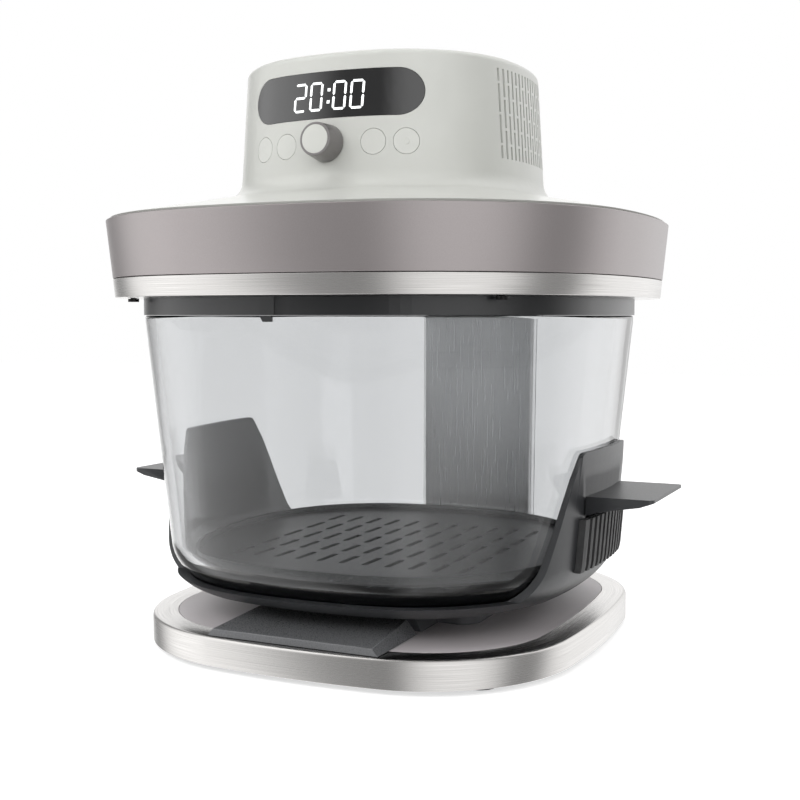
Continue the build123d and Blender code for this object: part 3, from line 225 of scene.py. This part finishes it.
def mesh_piece(name, points, faces, body, material, replaced=(), sheet=None, smooth_angle=BAND_SMOOTH):
    """A piece from points in millimetres and faces, turned so that its faces point outwards.

    The sign of the volume, summed over the faces' fans of triangles, says which way they point.
    """
    mesh = bpy.data.meshes.new(name)
    mesh.from_pydata((np.asarray(points) * METRE).tolist(), [], faces)
    if sheet is not None:
        layer = mesh.uv_layers.new(name="sheet")
        layer.data.foreach_set("uv", np.asarray(sheet, np.float32).ravel())
    work = bmesh.new()
    work.from_mesh(mesh)
    if work.calc_volume(signed=True) < 0:
        bmesh.ops.reverse_faces(work, faces=work.faces)
    work.to_mesh(mesh)
    work.free()
    return place(name, mesh, body, material, replaced, smooth_angle)


def band(node_name, piece_name, stations, closed=True, centre_y=HEAD_Y):
    """A profile carried round an outline, which stands for a CAD node.

    Its stations are (half x, half y, height, form). A closed profile makes a ring. An open one is
    capped at both ends by a fan to its middle. The directions of the normal are evenly spaced right
    round and half a step off the axes. The UV map holds millimetres round the outline and along the
    profile.
    """
    turns = (np.arange(TURN_COUNT) + 0.5) * 2 * math.pi / TURN_COUNT
    rows = []
    for half_x, half_y, height, form in stations:
        flat = outline(half_x, half_y, form, turns)
        rows.append(np.column_stack([flat[:, 0], flat[:, 1] + centre_y, np.full(TURN_COUNT, height)]))
    grid = np.array(rows)
    count, columns = grid.shape[:2]
    row, column = np.meshgrid(np.arange(count if closed else count - 1), np.arange(columns),
                              indexing="ij")
    next_row, next_column = (row + 1) % count, (column + 1) % columns
    faces = np.stack([row * columns + column, row * columns + next_column,
                      next_row * columns + next_column, next_row * columns + column], -1).reshape(-1, 4)
    around = np.arange(columns + 1) / columns * 2 * math.pi * float(max(s[0] for s in stations))
    steps = np.linalg.norm(np.diff(grid[:, 0], axis=0, append=grid[:1, 0]), axis=1)
    along = np.concatenate([[0], np.cumsum(steps)])
    row, column = faces[:, 0] // columns, faces[:, 0] % columns
    sheet = np.stack([np.stack([around[column + du], along[row + dv]], -1)
                      for du, dv in ((0, 0), (1, 0), (1, 1), (0, 1))], 1).reshape(-1, 2)
    faces, points = faces.tolist(), grid.reshape(-1, 3)
    if not closed:
        near = np.arange(columns)
        far = (near + 1) % columns
        for first, pair in ((0, (far, near)), ((count - 1) * columns, (near, far))):
            hub = np.full(columns, len(points))
            points = np.vstack([points, points[first:first + columns].mean(0)])
            faces += np.stack([hub, first + pair[0], first + pair[1]], -1).tolist()
            sheet = np.vstack([sheet, np.zeros((3 * columns, 2))])
    return mesh_piece(piece_name, points, faces, body_of[node_name], finishes[slot_of[node_name]],
                      (node_name,), sheet)


def dressed(name, material, smooth_angle, whole_faces=True):
    """A CAD node's own form: flat faces made whole, rounds smooth, large faces kept flat in shading."""
    mesh = frame["nodes"][name].data.copy()
    mesh.name = "form_" + name
    work = bmesh.new()
    work.from_mesh(mesh)
    bmesh.ops.remove_doubles(work, verts=work.verts, dist=MERGE_DISTANCE * METRE)
    bmesh.ops.dissolve_degenerate(work, edges=work.edges, dist=MERGE_DISTANCE * METRE)
    if whole_faces:
        bmesh.ops.dissolve_limit(work, angle_limit=math.radians(FLAT_ANGLE), verts=work.verts,
                                 edges=work.edges)
    work.to_mesh(mesh)
    work.free()
    mesh.materials.clear()
    piece = place("form_" + name, mesh, body_of[name], material, (name,), smooth_angle)
    even = piece.modifiers.new("even_normals", "WEIGHTED_NORMAL")
    even.mode = "FACE_AREA_WITH_ANGLE"
    even.keep_sharp = True
    return piece


# Materials


def colour(code):
    """A linear colour from sRGB hex, such as DEE0DB."""
    parts = [int(code[index:index + 2], 16) / 255 for index in (0, 2, 4)]
    return [p / 12.92 if p <= 0.04045 else ((p + 0.055) / 1.055) ** 2.4 for p in parts] + [1.0]


def node(tree, kind, settings=None, **inputs):
    """A node with its settings; an input is a value, or a socket to link from."""
    made = tree.nodes.new(kind)
    for name, value in (settings or {}).items():
        setattr(made, name, value)
    for name, value in inputs.items():
        numbered = name[0] == "i" and name[1:].isdigit()
        socket = made.inputs[int(name[1:]) if numbered else name.replace("_", " ")]
        if isinstance(value, bpy.types.NodeSocket):
            tree.links.new(value, socket)
        else:
            socket.default_value = value
    return made


def start(name):
    """A new material with its node tree, its surface shader and its place in millimetres."""
    material = bpy.data.materials.new(name)
    material.use_nodes = True
    tree = material.node_tree
    shader = tree.nodes["Principled BSDF"]
    place_node = node(tree, "ShaderNodeTexCoord")
    in_mm = node(tree, "ShaderNodeVectorMath", {"operation": "SCALE"},
                 i0=place_node.outputs["Object"], Scale=1 / METRE)
    return material, tree, shader, in_mm.outputs["Vector"]


def grain(tree, where, size, detail, stretch=(1, 1, 1)):
    """Noise whose grains are about that many millimetres across, shrunk along each axis by stretch."""
    scaled = node(tree, "ShaderNodeMapping", i0=where, Scale=stretch)
    return node(tree, "ShaderNodeTexNoise", i0=scaled.outputs["Vector"], Scale=1 / size,
                Detail=detail).outputs["Fac"]


def between(tree, value, low, high, start_at=0.3, end_at=0.7):
    """A value mapped from one range to another. Noise lies mostly from 0.3 to 0.7."""
    return node(tree, "ShaderNodeMapRange", Value=value, From_Min=start_at, From_Max=end_at,
                To_Min=low, To_Max=high).outputs["Result"]


def tinted(tree, shader, share, code, other_code):
    """Sends a colour between two to the shader, by a share."""
    mix = node(tree, "ShaderNodeMix", {"data_type": "RGBA"}, i0=share, i6=colour(code),
               i7=colour(other_code))
    tone = [out for out in mix.outputs if out.type == "RGBA"][0]
    tree.links.new(tone, shader.inputs["Base Color"])


def roughened(tree, shader, value, low, high):
    """Sends a roughness that follows a pattern to the shader."""
    tree.links.new(between(tree, value, low, high), shader.inputs["Roughness"])


def bumped(tree, shader, height, depth):
    """Sends a height to the shader's normal, as relief of that depth in millimetres."""
    bump = node(tree, "ShaderNodeBump", Height=height, Distance=depth * METRE, Strength=1.0)
    tree.links.new(bump.outputs["Normal"], shader.inputs["Normal"])


def set_shader(shader, **values):
    """Constants on the shader's own sockets."""
    for name, value in values.items():
        shader.inputs[name.replace("_", " ")].default_value = value


def moulded_abs(name, code, dark_code, roughness, grain_size=0.6, depth=0.002, coat=0.0):
    """Injection-moulded ABS: an even colour with faint flow mottling and a fine spark-eroded grain."""
    mottle_size, abs_ior, coat_roughness, spread = 26.0, 1.53, 0.12, 0.02
    material, tree, shader, where = start(name)
    mottle = grain(tree, where, mottle_size, detail=3.0)
    tinted(tree, shader, between(tree, mottle, 0.0, 1.0), code, dark_code)
    fine = grain(tree, where, grain_size, detail=0.0)
    roughened(tree, shader, fine, roughness - spread, roughness + spread)
    bumped(tree, shader, fine, depth)
    set_shader(shader, IOR=abs_ior, Coat_Weight=coat, Coat_Roughness=coat_roughness)
    return material


def satin_metal_paint(name, code, dark_code, roughness):
    """Metallic paint, satin: fine flakes that sparkle a little and a soft wide highlight."""
    flake_size, flake_depth, flake_share, metal_share, spread = 0.35, 0.003, 0.4, 0.75, 0.05
    material, tree, shader, where = start(name)
    flakes = grain(tree, where, flake_size, detail=1.0)
    tinted(tree, shader, between(tree, flakes, 0.0, flake_share), code, dark_code)
    roughened(tree, shader, flakes, roughness - spread, roughness + spread)
    bumped(tree, shader, flakes, flake_depth)
    set_shader(shader, Metallic=metal_share)
    return material


def brushed_steel(name):
    """Stainless steel brushed with a belt: hair lines along the band, drawn a little coarser than real."""
    line_pitch, line_stretch, line_depth, smoothest, roughest = 0.22, 0.004, 0.003, 0.20, 0.30
    material, tree, shader, _ = start(name)
    sheet = node(tree, "ShaderNodeUVMap", {"uv_map": "sheet"}).outputs["UV"]
    lines = grain(tree, sheet, line_pitch, detail=1.0, stretch=(line_stretch, 1, 1))
    tinted(tree, shader, between(tree, lines, 0.0, 1.0), "CFCDCB", "BBB9B7")
    roughened(tree, shader, lines, smoothest, roughest)
    bumped(tree, shader, lines, line_depth)
    set_shader(shader, Metallic=1.0, Anisotropic=0.4)
    return material


def rolled_sheet(name, code, roughness):
    """Rolled sheet metal: faint upright rolling lines and a calm, even sheen."""
    line_pitch, line_stretch, line_share, smoother, rougher = 0.5, 0.02, 0.1, 0.03, 0.04
    material, tree, shader, where = start(name)
    lines = grain(tree, where, line_pitch, detail=1.0, stretch=(1, 1, line_stretch))
    tinted(tree, shader, between(tree, lines, 0.0, line_share), code, "6E6C6A")
    roughened(tree, shader, lines, roughness - smoother, roughness + rougher)
    set_shader(shader, Metallic=1.0)
    return material


def clear_glass(name):
    """Pressed borosilicate glass: clear, a little grey through each wall, with slow press waves."""
    wave_size, wave_depth, roughest = 60.0, 0.1, 0.01
    material, tree, shader, where = start(name)
    waves = grain(tree, where, wave_size, detail=0.0)
    bumped(tree, shader, waves, wave_depth)
    roughened(tree, shader, waves, 0.0, roughest)
    set_shader(shader, Base_Color=colour("E6E7E8"), Transmission_Weight=1.0, IOR=1.47)
    return material


def soft_rubber(name, code, roughness):
    """Moulded rubber or silicone: dull, a little dusty, with a fine matt grain."""
    dust_size, dust_share, grain_size, grain_depth, rubber_ior = 3.0, 0.35, 0.4, 0.01, 1.5
    smoother, rougher = 0.05, 0.1
    material, tree, shader, where = start(name)
    dust = grain(tree, where, dust_size, detail=4.0)
    tinted(tree, shader, between(tree, dust, 0.0, dust_share), code, "4A4A4A")
    roughened(tree, shader, dust, roughness - smoother, roughness + rougher)
    bumped(tree, shader, grain(tree, where, grain_size, detail=1.0), grain_depth)
    set_shader(shader, IOR=rubber_ior)
    return material


def smoked_window(name):
    """Polished acrylic over a dark print: near black with a mirror-like gloss."""
    tint_size, smoothest, roughest, print_ior = 20.0, 0.06, 0.1, 1.8
    material, tree, shader, where = start(name)
    tint = grain(tree, where, tint_size, detail=1.0)
    tinted(tree, shader, between(tree, tint, 0.0, 1.0), "0B0B0C", "121213")
    roughened(tree, shader, tint, smoothest, roughest)
    set_shader(shader, IOR=print_ior)
    return material


def glowing_digit(name):
    """A white LED segment under the window: bright, even, with a soft falloff in its grain."""
    glow_size, dimmest = 2.0, 0.85
    material, tree, shader, where = start(name)
    glow = grain(tree, where, glow_size, detail=1.0)
    tree.links.new(between(tree, glow, dimmest, 1.0), shader.inputs["Emission Strength"])
    set_shader(shader, Base_Color=colour("F4F6F6"), Emission_Color=colour("F7FAFA"), Roughness=0.4)
    return material


def circuit_board(name):
    """Green solder resist over copper: mottled green with darker tracks."""
    track_pitch, track_stretch, track_depth, track_edge = 3.0, 0.2, 0.03, (0.45, 0.55)
    material, tree, shader, where = start(name)
    tracks = grain(tree, where, track_pitch, detail=0.0, stretch=(1, track_stretch, 1))
    tinted(tree, shader, between(tree, tracks, 0.0, 1.0, *track_edge), "1F5B36", "174529")
    bumped(tree, shader, tracks, track_depth)
    set_shader(shader, Roughness=0.35)
    return material


def mineral_wool(name):
    """Pressed mineral fibre: pale, felted, with short loose fibres."""
    fibre_size, fibre_stretch, fibre_depth = 0.9, 0.4, 0.4
    material, tree, shader, where = start(name)
    fibres = grain(tree, where, fibre_size, detail=5.0, stretch=(fibre_stretch, 1, 1))
    tinted(tree, shader, between(tree, fibres, 0.0, 1.0), "D8D2C2", "B7B09E")
    bumped(tree, shader, fibres, fibre_depth)
    set_shader(shader, Roughness=0.95)
    return material


def nonstick_coat(name):
    """Sprayed non-stick coating: charcoal with pale flecks and a low sheen."""
    fleck_size, fleck_edge, grain_size, grain_depth = 0.9, (0.62, 0.7), 0.5, 0.01
    material, tree, shader, where = start(name)
    flecks = grain(tree, where, fleck_size, detail=1.0)
    tinted(tree, shader, between(tree, flecks, 0.0, 1.0, *fleck_edge), "2B2C2D", "55585A")
    bumped(tree, shader, grain(tree, where, grain_size, detail=2.0), grain_depth)
    set_shader(shader, Roughness=0.42, IOR=1.4)
    return material


# A finish for each material slot of the record
finishes = {
    "warm_white_plastic": moulded_abs("moulded_abs_warm_white", "C9CAC5", "C6C7C2", 0.34, coat=0.15),
    "pale_gloss_plastic": moulded_abs("moulded_abs_pale_key", "CDCEC9", "CACBC6", 0.3, coat=0.15),
    "grey_satin_paint": satin_metal_paint("satin_metallic_paint_warm_grey", "9D9797", "928D8D", 0.36),
    "brushed_steel": brushed_steel("belt_brushed_stainless_steel"),
    "satin_steel_sheet": rolled_sheet("satin_rolled_steel_sheet", "CDCDCD", 0.3),
    "pressed_steel": rolled_sheet("pressed_zinc_coated_steel", "A9ABAC", 0.4),
    "aluminised_steel": rolled_sheet("aluminised_steel_sheet", "C4C5C6", 0.3),
    "zinc_steel": rolled_sheet("zinc_plated_screw_steel", "C9CACB", 0.28),
    "blackened_steel": rolled_sheet("black_oxide_screw_steel", "242424", 0.45),
    "heater_sheath": rolled_sheet("oxidised_heater_sheath", "5A5550", 0.5),
    "black_plastic": moulded_abs("moulded_black_plastic", "1E1F21", "1B1C1E", 0.3),
    "dark_grey_plastic": moulded_abs("moulded_charcoal_plastic", "5C5D60", "56575A", 0.34),
    "grey_satin_plastic": moulded_abs("matt_warm_grey_panel", "D2CCCE", "CEC8CA", 0.45, 0.7, 0.01),
    "white_nylon": moulded_abs("moulded_white_nylon", "DCDDD9", "D0D1CC", 0.45),
    "black_rubber": soft_rubber("moulded_black_rubber", "2A2A2B", 0.6),
    "black_silicone": soft_rubber("moulded_black_silicone", "2C2C2D", 0.5),
    "clear_silicone": soft_rubber("moulded_pale_silicone", "BFC2C3", 0.5),
    "smoked_window": smoked_window("polished_smoked_acrylic"),
    "clear_glass": clear_glass("pressed_borosilicate_glass"),
    "circuit_board": circuit_board("green_circuit_board"),
    "mineral_fibre": mineral_wool("pressed_mineral_wool"),
    "nonstick_steel": nonstick_coat("sprayed_nonstick_coating"),
}
# Finishes of pieces that differ a little from their slot's
own_finishes = {
    # The lever's charcoal is lighter than its slot's plastic: a painted sheen standing in for the light
    # its slope reflects
    "pull_lever": moulded_abs("charcoal_lever_lightened_as_painted_sheen", "6A6B6D", "656668", 0.28),
    "cradle": moulded_abs("semi_gloss_charcoal_cradle", "313234", "2E2F31", 0.4),
    "knob_body": satin_metal_paint("satin_grey_knob_skirt", "8B8888", "817E7E", 0.36),
}

# Head


def satin_ring():
    """The wide flared band: one closed wall profile carried round the head's outline.

    The wall leans so that its foot meets the trim's outline at the trim's top.
    """
    low, high = span("satin_ring")
    top = half_sizes("satin_ring")
    slope = (top - half_sizes("steel_trim")) / (high[2] - span("steel_trim")[1][2])
    profile = rounded([(0, low[2]), (0, high[2], RING_EDGE_ROUND), (-RING_WALL, high[2], RING_EDGE_ROUND),
                       (-RING_WALL, low[2])], RING_FOOT_ROUND)
    stations = [(*(top + inset + slope * (z - high[2])), z, HEAD_FORM) for inset, z in profile]
    return band("satin_ring", "satin_ring_wall", stations)


def steel_trim():
    """The brushed band under the ring: wall and inward flange, one closed profile."""
    low, high = span("steel_trim")
    top = half_sizes("steel_trim")
    flange = half_sizes("rim_carrier") + TRIM_GAP
    flange_top = low[2] + TRIM_SHEET
    profile = rounded([(0, low[2], TRIM_LOWER_ROUND), (0, high[2], TRIM_UPPER_ROUND),
                       (-TRIM_SHEET, high[2], TRIM_UPPER_ROUND),
                       (-TRIM_SHEET, flange_top, TRIM_FOLD_ROUND)], TRIM_FOLD_ROUND)
    stations = [(*(top + inset + TRIM_SLOPE * (z - high[2])), z, HEAD_FORM) for inset, z in profile]
    stations += [(*flange, z, HEAD_FORM) for z in (flange_top, low[2])]
    return band("steel_trim", "steel_trim_band", stations)


# Container


def glass_container():
    """A thick pressed bowl: outer wall, round lip, inner wall, poles in the middle of both floors."""
    low, high = span("glass_container")
    rim = half_sizes("glass_container")
    height = high[2] - low[2]
    floor_z = low[2] + GLASS_FLOOR
    inner_draw = GLASS_DRAW * (height - GLASS_FLOOR) / height
    pole = GLASS_POLE - rim[0]
    outer = rounded([(pole, low[2]), (-GLASS_DRAW, low[2], GLASS_FOOT_ROUND),
                     (0, high[2], GLASS_LIP_ROUND), (-GLASS_WALL, high[2], GLASS_LIP_ROUND),
                     (-GLASS_WALL - inner_draw, floor_z, GLASS_FOOT_ROUND - GLASS_WALL),
                     (pole, floor_z)], GLASS_POLE, GLASS_ROUND_STEPS, closed=False)
    stations = [(*(rim + inset), z, HEAD_FORM) for inset, z in outer]
    return band("glass_container", "glass_bowl", stations, closed=False)


# Base


def base_ring():
    """The steel base: round-edged rim, brushed top, inner edge round the inlay and folded wall."""
    low, high = span("base_ring")
    half = half_sizes("base_ring")
    inlay = half_sizes("base_inlay") + INLAY_GAP
    outer = rounded([(-BASE_SHEET, low[2], BASE_FOLD_ROUND), (0, low[2], BASE_FOOT_ROUND),
                     (0, high[2], BASE_TOP_ROUND), (-BASE_EDGE_BAND, high[2], 0)], BASE_FOLD_ROUND,
                    BASE_ROUND_STEPS, closed=False)
    stations = [(*(half + inset), z, BASE_FORM) for inset, z in outer]
    stations += [(*(inlay + out), high[2] - down, INLAY_FORM) for out, down in INLAY_EDGE]
    inner = half - BASE_SHEET
    stations += [(*(inner - BASE_INNER_SLOPE), high[2] - BASE_SHEET, BASE_FORM),
                 (*inner, high[2] - BASE_SHEET - 1, BASE_FORM)]
    return band("base_ring", "base_steel_shell", stations, centre_y=BASE_Y)


# Front of the tower


def front_y(x, z):
    """Where the tower's bowed front lies: an arc whose chord and rise shrink with height."""
    share = (z - TOWER_FOOT_Z) / (TOWER_TOP_Z - TOWER_FOOT_Z)
    half_x, half_y = (TOWER_BASE_HALF[axis] + (TOWER_TOP_HALF - TOWER_BASE_HALF)[axis] * share
                      for axis in (0, 1))
    chord, rise = half_x * (1 - TOWER_BOW), half_y * TOWER_BOW
    radius = (chord ** 2 + rise ** 2) / (2 * rise)
    return HEAD_Y - half_y + radius - np.sqrt(radius ** 2 - x ** 2)


def digit_bars():
    """The lit bars of 20:00, each a six-sided bar laid on the window's bow, with its own thickness."""
    lit = {"2": "abged", "0": "abcdef"}
    w, h = DIGIT_WIDTH, DIGIT_HEIGHT / 2
    ends = {"a": ((0, 2 * h), (w, 2 * h)), "b": ((w, h), (w, 2 * h)), "c": ((w, 0), (w, h)),
            "d": ((0, 0), (w, 0)), "e": ((0, 0), (0, h)), "f": ((0, h), (0, 2 * h)),
            "g": ((0, h), (w, h))}
    shapes = []
    for start_x, digit in zip(DIGIT_STARTS, "2000"):
        for letter in lit[digit]:
            first, last = (np.array(end, float) for end in ends[letter])
            along = (last - first) / np.linalg.norm(last - first)
            side = np.array([-along[1], along[0]]) * DIGIT_BAR / 2
            first, last = first + along * DIGIT_BAR_GAP, last - along * DIGIT_BAR_GAP
            inset = along * DIGIT_BAR / 2
            bar = np.array([first, first + inset + side, last - inset + side, last,
                            last - inset - side, first + inset - side])
            shapes.append(bar + [start_x, 0])
    dot = np.array([[-1, -1], [1, -1], [1, 1], [-1, 1]]) * DOT_HALF
    shapes += [dot + [DOT_X, h * height] for height in DOT_HEIGHTS]
    lens_low, lens_high = span("display_lens")
    foot_z = float(lens_low[2] + lens_high[2]) / 2 - DIGIT_DROP - h
    points, faces = [], []
    for shape in shapes:
        x = shape[:, 0] + DIGIT_LEAN * (shape[:, 1] - h)
        z = foot_z + shape[:, 1]
        first, count = len(points), len(shape)
        for proud in (DIGIT_PROUD, DIGIT_BACK):
            points += np.column_stack([x, front_y(x, z) - proud, z]).tolist()
        faces.append([first + index for index in range(count)])
        faces.append([first + count + index for index in reversed(range(count))])
        faces += [[first + index, first + count + index, first + count + (index + 1) % count,
                   first + (index + 1) % count] for index in range(count)]
    return mesh_piece("display_digits", points, faces, "housing", glowing_digit("white_led_segments"),
                      smooth_angle=DIGIT_SMOOTH)


# Every CAD node first gets its own finish; the pieces below then stand for those that show most
for cad_name, cad_piece in frame["nodes"].items():
    cad_piece.data.materials.clear()
    cad_piece.data.materials.append(finishes[slot_of[cad_name]])
satin_ring()
steel_trim()
glass_container()
base_ring()
digit_bars()
key_names = ("power_button", "mode_button", "timer_button", "start_button")
smooth_angles = {"rim_carrier": CARRIER_SMOOTH, **dict.fromkeys(key_names, KEY_SMOOTH)}
for cad_name in ("head_housing", "rim_carrier", "cradle", "pull_lever", "dock", "knob_body", "knob_cap",
                 *key_names, "display_lens", "grip_left", "grip_right", "column_front", "column_back",
                 "crisper_plate", "base_inlay", "base_feet", "cord_gland", "reflector_bowl",
                 "vent_screen_left", "vent_screen_right"):
    dressed(cad_name, own_finishes.get(cad_name, finishes[slot_of[cad_name]]),
            smooth_angles.get(cad_name, FORM_SMOOTH), cad_name not in (*key_names, "knob_cap"))


# Room: world, floor, lamps and camera

# Softboxes that only metal and gloss show, placed at round values. Each has its direction in
# degrees from +X towards +Y, the angles from it at which it is full and gone, and its brightness over
# that of the room.
SOFTBOXES = {
    "left_window": (-155, 5, 45, 0.8),
    "front_right_softbox": (-45, 5, 45, 0.6),
    "rear_right_softbox": (60, 10, 45, 0.65),
    "rear_panel": (120, 15, 30, 0.6),
}
ROOM_SHEEN = 0.2
PANEL_LIGHT = 1.7
ROOM_LIGHT = 0.55
WHITE = (1, 1, 1, 1)


def camera_and_glass_rays(tree, rays):
    """One for what the camera sees straight or through glass, and nothing for other rays."""
    return node(tree, "ShaderNodeMath", {"operation": "MAXIMUM"}, i0=rays.outputs["Is Camera Ray"],
                i1=rays.outputs["Is Transmission Ray"]).outputs[0]


def softbox_level(tree, heading, direction, full, gone, brightness):
    """Brightness of one softbox, a smooth step of the cosine of the angle between it and a heading."""
    turn = math.radians(direction)
    towards = node(tree, "ShaderNodeVectorMath", {"operation": "DOT_PRODUCT"}, i0=heading,
                   i1=(math.cos(turn), math.sin(turn), 0)).outputs["Value"]
    return node(tree, "ShaderNodeMapRange", {"interpolation_type": "SMOOTHSTEP"}, Value=towards,
                From_Min=math.cos(math.radians(gone)), From_Max=math.cos(math.radians(full)),
                To_Min=0.0, To_Max=brightness).outputs["Result"]


def white_room():
    """World that shows white to the camera and soft panels to metal, and lights gently."""
    world = bpy.data.worlds.new("white_room")
    bpy.context.scene.world = world
    world.use_nodes = True
    tree = world.node_tree
    tree.nodes.clear()
    rays = node(tree, "ShaderNodeLightPath")
    direction = node(tree, "ShaderNodeTexCoord").outputs["Generated"]
    level = node(tree, "ShaderNodeVectorMath", {"operation": "MULTIPLY"}, i0=direction, i1=(1, 1, 0))
    heading = node(tree, "ShaderNodeVectorMath", {"operation": "NORMALIZE"}, i0=level.outputs["Vector"])
    sheen = ROOM_SHEEN
    for softbox in SOFTBOXES.values():
        sheen = node(tree, "ShaderNodeMath", {"operation": "ADD"}, i0=sheen,
                     i1=softbox_level(tree, heading.outputs["Vector"], *softbox)).outputs[0]
    strength = node(tree, "ShaderNodeMath", {"operation": "MULTIPLY"}, i0=sheen, i1=PANEL_LIGHT)
    soft = node(tree, "ShaderNodeBackground", Color=WHITE, Strength=ROOM_LIGHT)
    panels = node(tree, "ShaderNodeBackground", Color=WHITE, Strength=strength.outputs[0])
    white = node(tree, "ShaderNodeBackground", Color=WHITE, Strength=1.0)
    lit = node(tree, "ShaderNodeMixShader", i0=rays.outputs["Is Glossy Ray"], i1=soft.outputs[0],
               i2=panels.outputs[0])
    final = node(tree, "ShaderNodeMixShader", i0=camera_and_glass_rays(tree, rays), i1=lit.outputs[0],
                 i2=white.outputs[0])
    node(tree, "ShaderNodeOutputWorld", Surface=final.outputs[0])


FLOOR_HALF = 3.0
FLOOR_PAPER = (0.8, 0.8, 0.8, 1)
FLOOR_LIFT = 0.62


def pale_floor():
    """A wide floor under the feet: it takes the shadow, shows white elsewhere and metal sees past it."""
    mesh = bpy.data.meshes.new("floor")
    corners = [(x * FLOOR_HALF, y * FLOOR_HALF, 0) for x, y in ((-1, -1), (1, -1), (1, 1), (-1, 1))]
    mesh.from_pydata(corners, [], [(0, 1, 2, 3)])
    floor = bpy.data.objects.new("floor", mesh)
    bpy.context.scene.collection.objects.link(floor)
    material = bpy.data.materials.new("white_paper_sweep")
    material.use_nodes = True
    tree = material.node_tree
    tree.nodes.clear()
    rays = node(tree, "ShaderNodeLightPath")
    paper = node(tree, "ShaderNodeBsdfDiffuse", Color=FLOOR_PAPER)
    lift = node(tree, "ShaderNodeMath", {"operation": "MULTIPLY"}, i0=camera_and_glass_rays(tree, rays),
                i1=FLOOR_LIFT)
    glow = node(tree, "ShaderNodeEmission", Color=WHITE, Strength=lift.outputs[0])
    both = node(tree, "ShaderNodeAddShader", i0=paper.outputs[0], i1=glow.outputs[0])
    clear = node(tree, "ShaderNodeBsdfTransparent")
    final = node(tree, "ShaderNodeMixShader", i0=rays.outputs["Is Glossy Ray"], i1=both.outputs[0],
                 i2=clear.outputs[0])
    node(tree, "ShaderNodeOutputMaterial", Surface=final.outputs[0])
    mesh.materials.append(material)


def lamp(name, place_at, aim, size, power):
    """A soft area lamp that points at a place, in metres and watts. The room's panels give the sheen."""
    light = bpy.data.lights.new(name, "AREA")
    light.shape = "RECTANGLE"
    light.size, light.size_y = size
    light.energy = power
    holder = bpy.data.objects.new(name, light)
    bpy.context.scene.collection.objects.link(holder)
    holder.location = place_at
    holder.rotation_euler = (Vector(aim) - Vector(place_at)).to_track_quat("-Z", "Y").to_euler()
    holder.visible_glossy = False


def studio():
    """A large soft key from front left and above, a weak fill, a top light and a low front one."""
    middle = (0, 0, 0.15)
    lamp("key_softbox", (-0.9, -1.3, 1.2), middle, (1.0, 1.0), 9)
    lamp("fill_softbox", (1.4, -0.9, 0.7), middle, (0.8, 1.0), 3.5)
    lamp("top_softbox", (0, 0.2, 1.5), (0, 0, 0), (1.2, 1.2), 6)
    lamp("low_softbox", (0.2, -0.9, 0.6), (0, -0.05, 0.0), (1.2, 0.3), 2.5)


# The camera's place and turn, from matching the outlines in the photograph
CAMERA_AT = np.array([291.8, -619.4, 176.1])
CAMERA_AZIMUTH, CAMERA_PITCH = 24.95, 3.94
CAMERA_FOCAL_PIXELS, PHOTO_PIXELS, SENSOR = 1221.5, 800, 36.0
CLIP_NEAR, CLIP_FAR = 0.01, 20


def camera():
    """A level camera, turned left by its azimuth and down by its pitch, with no shift."""
    data = bpy.data.cameras.new("camera")
    data.sensor_width = SENSOR
    data.lens = CAMERA_FOCAL_PIXELS / PHOTO_PIXELS * SENSOR
    data.clip_start, data.clip_end = CLIP_NEAR, CLIP_FAR
    holder = bpy.data.objects.new("camera", data)
    bpy.context.scene.collection.objects.link(holder)
    holder.location = (CAMERA_AT + [0, HEAD_Y, 0]) * METRE
    holder.rotation_euler = (math.radians(90 - CAMERA_PITCH), 0, math.radians(CAMERA_AZIMUTH))
    bpy.context.scene.camera = holder


white_room()
pale_floor()
studio()
camera()
bpy.context.scene.view_settings.view_transform = "Standard"
